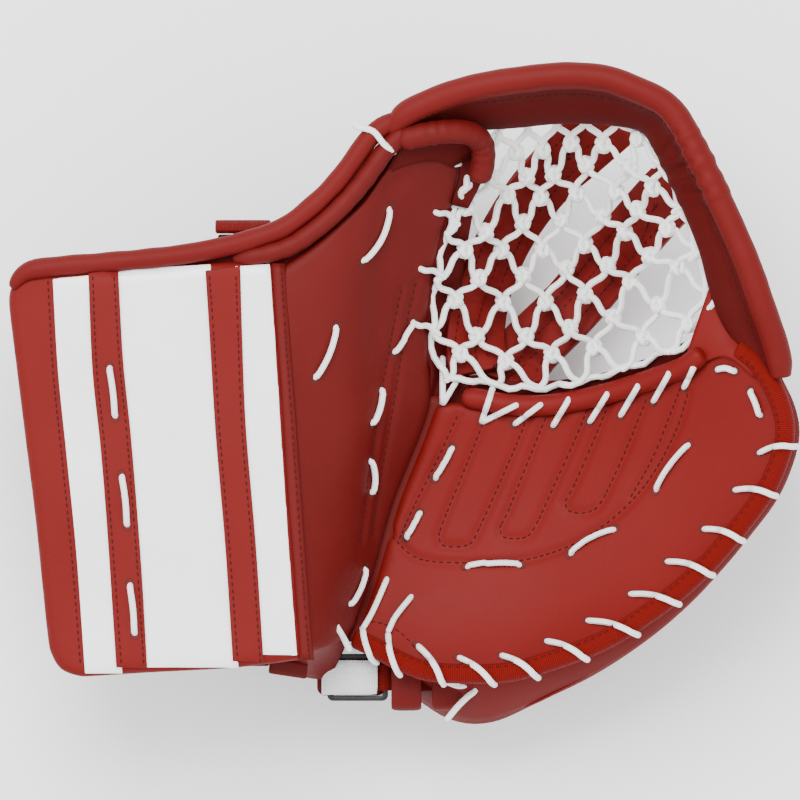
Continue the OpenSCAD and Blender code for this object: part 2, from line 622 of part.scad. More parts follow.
thumb_cuff = [[-48.7, -125, 124], [-50.7, -98, 125.5], [-56.7, -20, 126], [-60.7, 35, 125.5],
              [-62, 64, 124]];
thumb_crown = [[-62, 64, 124], [-50, 71, 124], [-38, 80, 124.5], [-26, 91, 125], [-17, 100, 125],
               [-10.5, 109, 124], [-3, 119, 122], [8, 124, 119], [19, 125, 113], [29, 121, 105]];
thumb_heel = [[-48.7, -125, 124], [-40, -123, 115], [-32, -120, 98], [-24.8, -117, 80]];
thumb_pocket = concat([for (p = crease) p - [0.8, 0, 0]],
                      [[14, 20, 70], [14, 39, 74], [16, 59, 80], [20, 78, 86], [26, 96, 92],
                       [30, 111, 98], [29, 121, 105]]);
thumb_edges = edges(thumb_heel, thumb_crown, thumb_cuff, thumb_pocket);
// The panel bulges a little between the cuff and the pocket
thumb_swell = 5;
thumb_at = function (u, v)
    patch(thumb_edges, u, v) - rise(thumb_swell * sin(180 * u) * sin(180 * v));

module thumb_panel() placed() color(deep_red)
    slab(grid(thumb_at, 12, 20), grid(thumb_at, 12, 20, -thumb_pad));

// Part of the way up at which the thumb's shell begins
thumb_shell_start = 0.47;
thumb_shell_at = function (u, v)
    let (p = thumb_at(u, lerp(thumb_shell_start, 1, v)),
         w = settle(u, 0.36) * settle(1 - u, 0.4) * settle(1 - v, 0.42))
    [p.x, p.y, lerp(p.z - thumb_pad - seam - 0.6, shell_wall, w)];
module thumb_shell() placed() color(deep_red)
    slab(grid(thumb_shell_at, 16, 12), grid(thumb_shell_at, 16, 12, -shell_wall));

module thumb_lining() placed() color(grey) {
    lo = [0.2, 0.2];
    hi = [0.82, 0.84];
    back = -thumb_pad - seam - 0.8;
    slab(grid(thumb_at, 6, 10, back, lo, hi), grid(thumb_at, 6, 10, back - lining_t, lo, hi));
}

roll_outer = [[-168, 66.6, 114], [-137, 69, 119], [-108, 72, 122], [-86, 75.6, 124],
              [-70, 79.5, 124.5], [-57, 84, 125], [-46, 92, 125.5], [-36, 101, 126],
              [-28, 110, 126.5], [-22, 119, 127], [-16.5, 128, 127]];
roll_inner = [[-71, 70.3, 124.2], [-64, 71.5, 124.5], [-52, 76.1, 125], [-39.7, 84.6, 125.5],
              [-28.6, 94.7, 126], [-20.6, 103.7, 126.5], [-14.6, 111.8, 127], [-8.2, 121.3, 127]];
module thumb_roll_outer() placed() color(deep_red)
    skins([cord(even(fitted(roll_outer), 26), thumb_roll_r, 8)]);
module thumb_roll_inner() placed() color(deep_red)
    skins([cord(even(fitted(roll_inner), 14), thumb_roll_r, 8)]);

tip_roll = [[4, 126.5, 129], [14, 129, 128.5], [25, 130.8, 126], [35, 130, 120], [40, 125, 114],
            [40, 116, 108], [37.5, 107, 103.5]];
module thumb_tip_roll() placed() color(deep_red)
    skins([cord(even(fitted(tip_roll), 14), tip_roll_r, 8)]);

thumb_stitches = [[[-5, 92], [-19, 65]], [[-31, 36], [-42, 9]], [[6, 38], [-2, 22]],
                  [[-9, 5], [-14, -12]], [[-15, -29], [-14, -47]]];
module thumb_laces() placed() color(white)
    skins([for (s = thumb_stitches) stitch(thumb_at, s[0], s[1])]);

heel_stitches = [[[-17.5, -82], [-25, -101]], [[-31, -111], [-28.5, -119]]];
module heel_laces() placed() color(white)
    skins([for (s = heel_stitches) stitch(thumb_at, s[0], s[1])]);

// ---- wrist strap ----

wrist_x = -77;
wrist_line = [[0, 72, 96.5], [0, 79, 90], [0, 80, 70], [0, 72, 40], [0, 50, 14], [0, 20, 5], [0, -30, 4],
              [0, -80, 7], [0, -112, 24], [0, -124, 50], [0, -124, 80], [0, -117, 96.5]];
module wrist_strap() placed() color(black)
    skins([swept(even(fitted([for (p = wrist_line) p + [wrist_x, 0, 0]]), 30), [1, 0, 0],
                 flat_section(wrist_strap_w, wrist_strap_t))]);

// Webbing loop that keeps the strap at the crown of the cuff
module strap_keeper() placed() color(dark_red)
    skins([swept(even(fitted([[wrist_x, 82, 112], [wrist_x, 87, 106], [wrist_x, 86, 92],
                              [wrist_x, 84.2, 80]]), 8),
                 [1, 0, 0], flat_section(wrist_strap_w + 2, 2.4))]);

module wrist_flap() placed() color(dark_red)
    skins([swept(even(fitted([[wrist_x, -116, 22], [wrist_x, -124, 36], [wrist_x, -129, 54],
                              [wrist_x, -129.5, 84]]), 8),
                 [1, 0, 0], flat_section(wrist_strap_w, 2.2))]);

// Leather end of the heel strap, fixed under the thumb panel
module heel_strap() placed() color(deep_red)
    skins([swept(even(fitted([[-64, -130, 92], [-55, -131.5, 87], [-46, -133, 81]]), 6),
                 [0, 1, 0], flat_section(8, 2.4))]);

palm_panel();
palm_edge_roll();
palm_binding();
palm_lining();
backhand_shell();
backhand_binding();
backhand_plate();
finger_gusset();
hand_strap();
side_rim();
rim_corner();
t_strap_left();
t_strap_right();
pocket_net();
palm_laces();
edge_laces();
perimeter_lace();
rim_laces();
strap_loop_left();
strap_loop_right();
loop_webbing();
buckle_base();
tie_lace();
heel_ring();
heel_tab();
cuff_core();
cuff_cover();
cuff_liner();
cuff_edge();
cuff_stripe_left();
cuff_stripe_middle();
cuff_stripe_right();
cuff_band_left();
cuff_band_right();
cuff_laces();
thumb_panel();
thumb_shell();
thumb_roll_outer();
thumb_roll_inner();
thumb_tip_roll();
thumb_lining();
thumb_laces();
heel_laces();
top_rim();
wrist_strap();
strap_keeper();
heel_strap();
wrist_flap();
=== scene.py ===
# Goalie catch glove, open and lying on its back. Lengths are in metres.
from math import cos, pi, radians, sin

import bmesh
import bpy
import numpy as np
from mathutils import Matrix, Vector
from mathutils.bvhtree import BVHTree
from mathutils.kdtree import KDTree


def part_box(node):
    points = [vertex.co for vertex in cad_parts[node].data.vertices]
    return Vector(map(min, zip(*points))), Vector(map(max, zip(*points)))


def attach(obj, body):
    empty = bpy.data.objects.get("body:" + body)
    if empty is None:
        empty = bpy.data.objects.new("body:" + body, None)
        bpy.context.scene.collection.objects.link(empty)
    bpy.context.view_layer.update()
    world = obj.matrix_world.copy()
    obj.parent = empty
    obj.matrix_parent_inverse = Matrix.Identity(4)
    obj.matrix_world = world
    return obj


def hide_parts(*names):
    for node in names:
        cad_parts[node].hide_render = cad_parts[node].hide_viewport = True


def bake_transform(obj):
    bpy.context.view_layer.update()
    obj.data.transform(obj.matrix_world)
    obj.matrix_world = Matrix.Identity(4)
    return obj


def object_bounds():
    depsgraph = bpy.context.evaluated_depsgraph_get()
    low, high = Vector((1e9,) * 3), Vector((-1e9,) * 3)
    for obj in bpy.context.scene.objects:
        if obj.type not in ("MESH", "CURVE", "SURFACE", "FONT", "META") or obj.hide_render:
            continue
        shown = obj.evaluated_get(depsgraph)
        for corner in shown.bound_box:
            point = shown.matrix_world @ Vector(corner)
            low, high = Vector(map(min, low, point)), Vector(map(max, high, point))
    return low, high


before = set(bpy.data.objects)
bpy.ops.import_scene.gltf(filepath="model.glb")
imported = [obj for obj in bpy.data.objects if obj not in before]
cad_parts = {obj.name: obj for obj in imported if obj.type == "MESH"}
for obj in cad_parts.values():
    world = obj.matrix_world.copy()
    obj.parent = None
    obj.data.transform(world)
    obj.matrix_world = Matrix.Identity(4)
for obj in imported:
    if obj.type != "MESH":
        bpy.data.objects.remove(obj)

cad_box = [list(corner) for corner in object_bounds()]
MM = 0.001

# ---- camera, light and floor ----
# The glove is seen from straight above, through a long lens, on a plain pale floor
# under a large soft light with a weaker one from each side.
middle = Vector((cad_box[0][0] + cad_box[1][0], cad_box[0][1] + cad_box[1][1], 0)) / 2
camera_height = 7.0
view_width = 0.392
focus_height = 0.095

camera = bpy.data.objects.new("camera", bpy.data.cameras.new("camera"))
bpy.context.collection.objects.link(camera)
camera.location = middle + Vector((0, -0.0029, camera_height))
camera.data.sensor_width = 36
camera.data.lens = 36 * (camera_height - focus_height) / view_width
bpy.context.scene.camera = camera


def lamp(name, place, size, watts):
    """A square soft light that faces the glove."""
    light = bpy.data.objects.new(name, bpy.data.lights.new(name, "AREA"))
    bpy.context.collection.objects.link(light)
    light.data.size = size
    light.data.energy = watts
    light.location = place
    light.rotation_euler = (Vector((0, 0, 0.05)) - Vector(place)).to_track_quat("-Z", "Y").to_euler()


lamp("light_top", (-0.3, 0.8, 1.8), 1.0, 52)
lamp("light_left", (-1.5, -0.3, 1.1), 0.9, 8)
lamp("light_right", (1.4, -0.9, 1.0), 0.9, 10)

world = bpy.data.worlds.new("studio")
world.use_nodes = True
world.node_tree.nodes["Background"].inputs["Color"].default_value = (1, 1, 1, 1)
world.node_tree.nodes["Background"].inputs["Strength"].default_value = 1.75
bpy.context.scene.world = world


class Value:
    """A number in a material, on which Python's own operators work."""

    def __init__(self, finish, socket):
        self.finish = finish
        self.socket = socket

    def math(self, operation, *others):
        return self.finish.node("ShaderNodeMath", {"operation": operation}, dict(enumerate((self, *others))))

    def __add__(self, other):
        return self.math("ADD", other)

    def __radd__(self, other):
        return self.math("ADD", other)

    def __sub__(self, other):
        return self.math("SUBTRACT", other)

    def __rsub__(self, other):
        return self.math("MULTIPLY", -1).math("ADD", other)

    def __mul__(self, other):
        return self.math("MULTIPLY", other)

    def __rmul__(self, other):
        return self.math("MULTIPLY", other)

    def wave(self):
        return self.math("SINE")


class Finish:
    """A material with one Principled shader, built node by node."""

    def __init__(self, name, roughness=0.5, **constants):
        self.material = bpy.data.materials.new(name)
        self.material.use_nodes = True
        self.tree = self.material.node_tree
        self.shader = self.tree.nodes["Principled BSDF"]
        self.shader.inputs["Roughness"].default_value = roughness
        for socket, value in constants.items():
            self.shader.inputs[socket.replace("_", " ")].default_value = value

    def node(self, kind, settings=None, inputs=None, output=0):
        """Adds a node, sets it up and returns one of its outputs as a Value."""
        new = self.tree.nodes.new(kind)
        for key, value in (settings or {}).items():
            setattr(new, key, value)
        for key, value in (inputs or {}).items():
            if isinstance(value, Value):
                self.tree.links.new(value.socket, new.inputs[key])
            else:
                new.inputs[key].default_value = value
        return Value(self, new.outputs[output])

    def place(self):
        """Coordinates on the piece, in metres."""
        return self.node("ShaderNodeTexCoord", output="Object")

    def noise(self, scale, detail=3, where=None):
        return self.node("ShaderNodeTexNoise", {},
                         {"Vector": where or self.place(), "Scale": scale, "Detail": detail})

    def mix(self, factor, first, second):
        """A colour between two colours."""
        return self.node("ShaderNodeMix", {"data_type": "RGBA"}, {0: factor, 6: first, 7: second}, 2)

    def axes(self, where):
        """The first two coordinates of a place."""
        split = self.node("ShaderNodeSeparateXYZ", {}, {0: where})
        return split, Value(self, split.socket.node.outputs[1])

    def feed(self, socket, value):
        self.tree.links.new(value.socket, self.shader.inputs[socket])

    def bump(self, height, depth, strength=1.0):
        """Bump of that many metres, on top of the bump already there."""
        inputs = {"Distance": depth, "Strength": strength, "Height": height}
        before = self.shader.inputs["Normal"].links
        if before:
            inputs["Normal"] = Value(self, before[0].from_socket)
        self.feed("Normal", self.node("ShaderNodeBump", {}, inputs))


def paint(red, green, blue, gain=1.0):
    """A colour from 0 to 255 screen values."""
    channels = [c / 255 for c in (red, green, blue)]
    linear = [c / 12.92 if c <= 0.04045 else ((c + 0.055) / 1.055) ** 2.4 for c in channels]
    return (*[c * gain for c in linear], 1)


floor_paint = Finish("floor_paint", 0.9)
floor_paint.feed("Base Color", floor_paint.mix(floor_paint.noise(3), (0.93, 0.93, 0.93, 1),
                                               (0.95, 0.95, 0.95, 1)))
bpy.ops.mesh.primitive_plane_add(size=8, location=(0, 0, -0.0002))
floor = bpy.context.object
floor.name = "floor"
floor.data.materials.append(floor_paint.material)

# ---- leathers ----
# Every panel is coated synthetic leather: a fine pebbled grain, a satin surface, slow
# changes of tone and slightly duller, lighter spots where the coating has been rubbed.


def leather(name, colour, roughness=0.6, grain=1.0, shine=0.13):
    """Coated leather of one colour."""
    skin = Finish(name, roughness, Specular_IOR_Level=shine)
    tone = skin.noise(14, 4)
    rub = skin.noise(55, 5)
    dark = tuple(c * 0.84 for c in colour[:3]) + (1,)
    light = tuple(min(1, c * 1.1 + 0.006) for c in colour[:3]) + (1,)
    skin.feed("Base Color", skin.mix(tone * 0.75 + rub * 0.25, dark, light))
    skin.feed("Roughness", rub * 0.16 + (roughness - 0.08))
    pebble = skin.node("ShaderNodeTexVoronoi", {"feature": "SMOOTH_F1"},
                       {"Vector": skin.place(), "Scale": 900.0})
    skin.bump(pebble, 0.00010 * grain, 0.5)
    skin.bump(skin.noise(260, 4), 0.00018 * grain, 0.45)
    skin.bump(skin.noise(38, 3), 0.0006 * grain, 0.35)
    return skin.material


palm_leather = leather("palm_leather", paint(100, 5, 2))
cuff_leather = leather("cuff_leather", paint(97, 5, 2))
thumb_leather = leather("thumb_leather", paint(84, 3, 1))
shell_leather = leather("shell_leather", paint(90, 3, 1))
# The wall leather is a darker, duller copy of the same leather: painted shade for the steep walls and gaps that
# lie in shadow.
shaded_wall_leather = leather("shaded_wall_leather", paint(70, 1, 0), 0.7, 1.0, 0.08)
rim_leather = leather("rim_leather", paint(90, 4, 2))
vinyl = leather("vinyl", paint(240, 241, 243), 0.2, 0.3, 0.5)

# ---- laces and seams ----
# White waxed nylon lace, a round braid about 3 mm thick, goes in and out of punched holes.
# Each visible stretch lies on the leather and dives at its ends. The seams are sewn in
# dark thread, each stitch a small pod on the leather.


def show(name, mesh, material=None):
    """A new object at the origin with this mesh."""
    piece = bpy.data.objects.new(name, mesh)
    bpy.context.collection.objects.link(piece)
    if material:
        piece.data.materials.clear()
        piece.data.materials.append(material)
    return piece


def mesh_of(name, points, faces):
    """A mesh of these points and faces."""
    mesh = bpy.data.meshes.new(name)
    mesh.from_pydata(points, [], faces)
    return mesh


def smooth(mesh):
    for face in mesh.polygons:
        face.use_smooth = True


def smooth_line(points, step):
    """Points about `step` apart on a smooth curve through the given ones."""
    P = [Vector(p) for p in points]
    out = []
    for i in range(len(P) - 1):
        b, c = P[i], P[i + 1]
        a = P[i - 1] if i else 2 * b - c
        d = P[i + 2] if i + 2 < len(P) else 2 * c - b
        n = max(1, round((c - b).length / step))
        for k in range(n):
            f = k / n
            out.append(0.5 * (2 * b + (c - a) * f + (2 * a - 5 * b + 4 * c - d) * f * f
                              + (3 * b - a - 3 * c + d) * f ** 3))
    return out + [P[-1]]


def flat(points):
    """Plan points given in millimetres, as vectors in metres."""
    return [Vector((p[0] * MM, p[1] * MM, 0)) for p in points]


def arrays(piece):
    """Positions and normals of the piece's vertices."""
    n = len(piece.data.vertices)
    place = np.empty(n * 3)
    normal = np.empty(n * 3)
    piece.data.vertices.foreach_get("co", place)
    piece.data.vertices.foreach_get("normal", normal)
    return place.reshape(-1, 3), normal.reshape(-1, 3)


def surface(piece):
    form = bmesh.new()
    form.from_mesh(piece.data)
    tree = BVHTree.FromBMesh(form)
    form.free()
    return tree


def below(tree, at):
    """The place on a surface straight below a plan point, and the normal there, if any."""
    return tree.ray_cast(Vector((at[0], at[1], 0.4)), Vector((0, 0, -1)))[:2]


def drop(tree, point, lift=0.0):
    """The point moved straight down onto a surface, and the normal there."""
    hit, normal = below(tree, point)
    if hit is None:
        hit, normal, _, _ = tree.find_nearest(Vector((point[0], point[1], 0.1)))
    if normal.z < 0:
        normal = -normal
    return hit + normal * lift, normal


def tubes(name, runs, radius, sides=10, squash=1.0):
    """Cords along lists of points, in one mesh. Its UV runs round and along each cord."""
    points, faces, uvs = [], [], []
    for run in runs:
        run = [Vector(p) for p in run]
        start = len(points)
        ahead = (run[1] - run[0]).normalized()
        side = ahead.orthogonal().normalized()
        rings = []
        length = 0.0
        for i, p in enumerate(run):
            t = (run[min(i + 1, len(run) - 1)] - run[max(i - 1, 0)]).normalized()
            side = (side - side.dot(t) * t).normalized()
            length += (p - run[i - 1]).length if i else 0
            rings.append((p, side.copy(), t.cross(side), 1.0, length))
        first, final = rings[0], rings[-1]
        back = -(run[1] - run[0]).normalized() * radius
        on = (run[-1] - run[-2]).normalized() * radius
        start_cap = [(first[0] + back * k, *first[1:3], s, first[4]) for k, s in ((0.9, 0.35), (0.6, 0.8))]
        end_cap = [(final[0] + on * k, *final[1:3], s, final[4]) for k, s in ((0.6, 0.8), (0.9, 0.35))]
        rings = start_cap + rings + end_cap
        for p, a, b, scale, along in rings:
            for j in range(sides):
                g = 2 * pi * j / sides
                points.append(p + (a * cos(g) + b * sin(g) * squash) * radius * scale)
        n = len(rings)
        for i in range(n - 1):
            for j in range(sides):
                q = (j + 1) % sides
                lo, hi = start + i * sides, start + (i + 1) * sides
                faces.append((lo + j, lo + q, hi + q, hi + j))
                uvs += [(j / sides, rings[i][4]), ((j + 1) / sides, rings[i][4]),
                        ((j + 1) / sides, rings[i + 1][4]), (j / sides, rings[i + 1][4])]
        faces.append(tuple(start + j for j in reversed(range(sides))))
        faces.append(tuple(start + (n - 1) * sides + j for j in range(sides)))
        for ring in (rings[0], rings[-1]):
            uvs += [(j / sides, ring[4]) for j in range(sides)]
    mesh = mesh_of(name, points, faces)
    layer = mesh.uv_layers.new(name="cord")
    layer.data.foreach_set("uv", np.array(uvs, float).ravel())
    smooth(mesh)
    return mesh


def bends(piece):
    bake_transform(piece)


def fix(piece, body):
    """Fastens the piece to one body; one that bends across the crease ("both") only has its transform baked in.
    """
    if body == "both":
        bends(piece)
    else:
        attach(piece, body)
    return piece


thread = Finish("thread", 0.7, Specular_IOR_Level=0.2)
thread.feed("Base Color", thread.mix(thread.noise(900), paint(38, 2, 1), paint(62, 4, 2)))


def sew(name, lines, tree, pitch=0.0034, stitch=0.0021, gauge=0.00032, lift=0.0001):
    """Rows of thread along plan lines, each stitch a small pod lying on a surface."""
    points, faces = [], []
    for line in lines:
        run = smooth_line(line, pitch)
        for a, b in zip(run[:-1], run[1:]):
            if (b - a).length < pitch * 0.3:
                continue
            middle_point, normal = drop(tree, (a + b) / 2, lift)
            along = (b - a).normalized()
            along = (along - along.dot(normal) * normal).normalized()
            aside = normal.cross(along)
            start = len(points)
            for x, r in ((-0.5, 0.3), (-0.28, 1.0), (0.28, 1.0), (0.5, 0.3)):
                for g in range(5):
                    turn = 2 * pi * g / 5
                    points.append(middle_point + along * x * stitch
                                  + (aside * cos(turn) + normal * sin(turn)) * gauge * r)
            for i in range(3):
                for j in range(5):
                    q = (j + 1) % 5
                    faces.append((start + i * 5 + j, start + (i + 1) * 5 + j,
                                  start + (i + 1) * 5 + q, start + i * 5 + q))
            faces.append(tuple(start + j for j in range(5)))
            faces.append(tuple(start + 15 + j for j in reversed(range(5))))
    mesh = mesh_of(name, points, faces)
    smooth(mesh)
    return show(name, mesh, thread.material)


lace_radius = 0.0016
lace_white = Finish("lace_white", 0.62, Sheen_Weight=0.15)
round_it, along_it = lace_white.axes(lace_white.node("ShaderNodeUVMap", {"uv_map": "cord"}))
plait = ((round_it * (2 * pi * 4) + along_it * 3600).wave() * (round_it * (2 * pi * 4) - along_it * 3600).wave())
lace_white.feed("Base Color", lace_white.mix(plait * 0.5 + 0.5, paint(226, 226, 224), paint(246, 246, 245)))
lace_white.bump(plait, 0.00022, 0.8)
lace_white.bump(lace_white.noise(500), 0.0001, 0.4)

# Near-black discs at the holes are painted shade for the holes' insides.
hole_shade = Finish("hole_shade", 0.9)
hole_shade.feed("Base Color", hole_shade.mix(hole_shade.noise(400), (0.01, 0.004, 0.003, 1),
                                           (0.03, 0.01, 0.008, 1)))


def lace_run(tree, a, b, bow=0.0):
    """One visible stretch of lace between two holes, from plan point a to b in millimetres."""
    a, b = flat([a, b])
    across = Vector((-(b - a).y, (b - a).x, 0)).normalized()
    run = []
    for k in range(13):
        s = k / 12
        at = a.lerp(b, s) + across * bow * MM * sin(pi * s)
        dive = max(0, 1 - s / 0.09) + max(0, 1 - (1 - s) / 0.09)
        run.append(drop(tree, at, lace_radius * (0.75 + 0.35 * sin(pi * s)) - 0.0042 * dive)[0])
    return run


def holes(name, ends, tree, radius=0.0021):
    """Punched holes: shallow discs at the ends of the laces, near black as painted shade for the holes' insides.
    """
    points, faces = [], []
    for end in ends:
        centre, normal = drop(tree, flat([end])[0], 0.00012)
        a = normal.orthogonal().normalized()
        b = normal.cross(a)
        start = len(points)
        points.append(centre - normal * 0.0006)
        for j in range(14):
            g = 2 * pi * j / 14
            points.append(centre + (a * cos(g) + b * sin(g)) * radius)
        for j in range(14):
            faces.append((start, start + 1 + j, start + 1 + (j + 1) % 14))
        points.append(centre - normal * 0.0016)
        low = len(points) - 1
        for j in range(14):
            faces.append((low, start + 1 + (j + 1) % 14, start + 1 + j))
    return show(name, mesh_of(name, points, faces), hole_shade.material)


def lace(name, runs, node=None):
    piece = show(name, tubes(name, runs, lace_radius, squash=0.88), lace_white.material)
    if node:
        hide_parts(node)
    return piece


# ---- cuff ----
# A firm board of foam under leather, with rounded, turned edges. Three white coated
# stripes are sewn on, two red bands lap their edges, and a row of lace ties the board.


def settle(piece, modifier, **settings):
    """Adds one modifier to the piece and applies it."""
    bpy.ops.object.select_all(action="DESELECT")
    bpy.context.view_layer.objects.active = piece
    piece.select_set(True)
    added = piece.modifiers.new(modifier.lower(), modifier)
    for key, value in settings.items():
        setattr(added, key, value)
    bpy.ops.object.modifier_apply(modifier=added.name)
    piece.select_set(False)


def over(node, name, material, levels=2, crease=0.0):
    """A rounded, sewn piece over a CAD node: the node's mesh, merged and subdivided."""
    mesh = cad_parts[node].data.copy()
    form = bmesh.new()
    form.from_mesh(mesh)
    bmesh.ops.remove_doubles(form, verts=form.verts, dist=1e-5)
    bmesh.ops.join_triangles(form, faces=form.faces, angle_face_threshold=pi,
                             angle_shape_threshold=pi, cmp_seam=False)
    if crease:
        layer = form.edges.layers.float.get("crease_edge") or form.edges.layers.float.new("crease_edge")
        for edge in form.edges:
            if len(edge.link_faces) == 2 and edge.calc_face_angle() > radians(50):
                edge[layer] = crease
    form.to_mesh(mesh)
    form.free()
    piece = show(name, mesh, material)
    if levels:
        settle(piece, "SUBSURF", levels=levels, render_levels=levels)
    smooth(piece.data)
    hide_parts(node)
    return piece


def put(piece, place):
    piece.data.vertices.foreach_set("co", place.ravel())
    piece.data.update()


def away(place, line):
    """Distance in plan from each position to a line of points."""
    best = np.full(len(place), 1e9)
    q = place[:, :2]
    for a, b in zip(line[:-1], line[1:]):
        a, b = np.array(a[:2]), np.array(b[:2])
        d = b - a
        t = np.clip(((q - a) @ d) / max(d @ d, 1e-12), 0, 1)
        best = np.minimum(best, np.linalg.norm(q - (a + t[:, None] * d), axis=1))
    return best


def press(piece, lines, width, depth, facing=0.2):
    """Sinks sewn lines into the side of the piece that faces up (or down)."""
    place, normal = arrays(piece)
    near = np.full(len(place), 1e9)
    for line in lines:
        near = np.minimum(near, away(place, line))
    up = normal[:, 2] > facing if facing > 0 else normal[:, 2] < facing
    sink = depth * np.exp(-((near / width) ** 2)) * up
    put(piece, place - normal * sink[:, None])


def even(line, count):
    """That many places at even steps along a line."""
    line = smooth_line(line, 0.0015)
    return [line[round(i * (len(line) - 1) / (count - 1))] for i in range(count)]


def web(name, first, second, sag, material, thick=0.0016, steps=8):
    """Leather between two lines in space, sagging in its middle."""
    count = max(8, round(sum((b - a).length for a, b in zip(first[:-1], first[1:])) / 0.004))
    A, B = even(first, count), even(second, count)
    points, faces = [], []
    for a, b in zip(A, B):
        for k in range(steps + 1):
            points.append(a.lerp(b, k / steps) - Vector((0, 0, sag * sin(pi * k / steps))))
    for i in range(count - 1):
        for k in range(steps):
            p = i * (steps + 1) + k
            faces.append((p, p + 1, p + steps + 2, p + steps + 1))
    piece = show(name, mesh_of(name, points, faces), material)
    settle(piece, "SOLIDIFY", thickness=thick, offset=0)
    smooth(piece.data)
    return piece


heel_edge = smooth_line(flat([(-155.5, -138.2), (-122, -136), (-81, -133.6), (-47.5, -129.6)]), 0.003)
thumb_edge = smooth_line(flat([(-47.5, -129.6), (-50, -101), (-55.5, -23), (-59.5, 32), (-61.5, 64.5)]),
                         0.003)
crown_edge = smooth_line(flat([(-61.5, 64.5), (-84, 64.5), (-108, 63), (-137, 60.6), (-176, 58.4)]), 0.003)
free_edge = smooth_line(flat([(-176, 58.4), (-184.5, 57.2), (-190, 52.5), (-191.3, 46), (-190.4, 36),
                              (-188, 17),
                              (-183, -23), (-178, -63), (-172.6, -115), (-170.4, -127), (-165, -135),
                              (-155.5, -138.2)]), 0.003)
outline = heel_edge[:-1] + thumb_edge[:-1] + crown_edge[:-1] + free_edge[:-1]
cuff = show("cuff_board", mesh_of("cuff_board", outline, [tuple(range(len(outline)))]), cuff_leather)
settle(cuff, "SOLIDIFY", thickness=0.0214, offset=-1)
settle(cuff, "BEVEL", width=0.0045, segments=4, limit_method="ANGLE", angle_limit=radians(60))
settle(cuff, "REMESH", mode="VOXEL", voxel_size=0.0019)
settle(cuff, "SMOOTH", factor=0.5, iterations=4)
place, _ = arrays(cuff)
place[:, 2] += 0.126 - 0.00058 * (place[:, 0] / MM + 50) ** 2 * MM
puff = 0.0005 * np.sin(place[:, 0] * 90) * np.sin(place[:, 1] * 60 + 1)
place[:, 2] += puff
put(cuff, place)
smooth(cuff.data)
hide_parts("cuff_cover", "cuff_core", "cuff_edge")
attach(cuff, "thumb")

line_a = [(-153.5, -139), (-158, -77), (-163, -27), (-167, 12), (-169.5, 56)]
line_b = [(-138, -139), (-142, -77), (-146, -27), (-150, 12), (-152, 58)]
line_c = [(-123, -139), (-126, -86), (-131, -23), (-135, 17), (-137.5, 60)]
line_d = [(-81, -139), (-85, -77), (-90, -18), (-93, 31), (-95, 63)]
line_e = [(-66, -139), (-70, -77), (-75, -18), (-77, 31), (-78, 65)]
line_f = [(-49.5, -139), (-53.5, -88), (-58, -23), (-61.5, 31), (-64, 66)]
lap = 2.6
cuff_top = surface(cuff)


def sewn_strip(name, left, right, lift, thickness, material, node, shift=(0, 0)):
    """A thin strip laid over the cuff between two lines and turned down at its ends."""
    L = smooth_line([(p[0] * MM + shift[0] * MM, p[1] * MM, 0) for p in left], 0.003)
    R = smooth_line([(p[0] * MM + shift[1] * MM, p[1] * MM, 0) for p in right], 0.003)
    n = min(len(L), len(R))
    rows = [[L[round(i * (len(L) - 1) / (n - 1))].lerp(R[round(i * (len(R) - 1) / (n - 1))], k / 12)
             for k in range(13)] for i in range(n)]
    grid = []
    for row in rows:
        line = []
        for p in row:
            hit, face_normal = below(cuff_top, p)
            line.append(hit + face_normal * lift if hit and face_normal.z > 0.25 else None)
        grid.append(line)
    keep = [i for i, line in enumerate(grid) if all(line)]
    grid = grid[keep[0]:keep[-1] + 1]
    points = [p for line in grid for p in line]
    faces = [(i * 13 + j, i * 13 + j + 1, (i + 1) * 13 + j + 1, (i + 1) * 13 + j)
             for i in range(len(grid) - 1) for j in range(12)]
    piece = show(name, mesh_of(name, points, faces), material)
    settle(piece, "SOLIDIFY", thickness=thickness, offset=-1)
    settle(piece, "BEVEL", width=0.00035, segments=2, limit_method="ANGLE")
    smooth(piece.data)
    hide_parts(node)
    return fix(piece, "thumb")


for name, left, right, shift in (("left", line_a, line_b, (0, lap)), ("middle", line_c, line_d, (-lap, lap)),
                                 ("right", line_e, line_f, (-lap, 0))):
    sewn_strip("stripe_" + name, left, right, 0.0007, 0.0009, vinyl, "cuff_stripe_" + name, shift)
bands = [sewn_strip("band_" + name, left, right, 0.0018, 0.0011, cuff_leather, "cuff_band_" + name)
         for name, left, right in (("left", line_b, line_c), ("right", line_d, line_e))]


def beside(line, dx):
    return flat([(p[0] + dx, max(-132, min(58, p[1]))) for p in line])


fix(sew("band_seams", [beside(line_b, 2), beside(line_c, -2)], surface(bands[0])), "thumb")
fix(sew("band_seams_right", [beside(line_d, 2), beside(line_e, -2)], surface(bands[1])), "thumb")
fix(sew("cuff_seam", [beside(line_a, -2.5), beside(line_f, -1.5)], cuff_top), "thumb")

edge_line = [(-47.5, -129.6), (-50, -101), (-55.5, -23), (-59.5, 32), (-61.5, 64)]
turned_edge = web("turned_edge", [Vector((x - 0.8, y, 122.8)) * MM for x, y in edge_line],
                  [Vector((x + 4.6, y - 0.5, 122.6)) * MM for x, y in edge_line], -0.0016, thumb_leather,
                  0.003)
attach(turned_edge, "thumb")
fix(sew("turned_seam", [flat([(x + 3.4, y) for x, y in edge_line])], surface(turned_edge)), "thumb")
band_top = surface(bands[0])
cuff_runs = [((-142, 14), (-139, -12)), ((-136, -39), (-133.2, -65)), ((-132, -92), (-129.5, -118))]
fix(lace("cuff_lace", [lace_run(band_top, a, b, 0.7) for a, b in cuff_runs], "cuff_laces"), "thumb")
fix(holes("cuff_holes", [p for run in cuff_runs for p in run], band_top), "thumb")

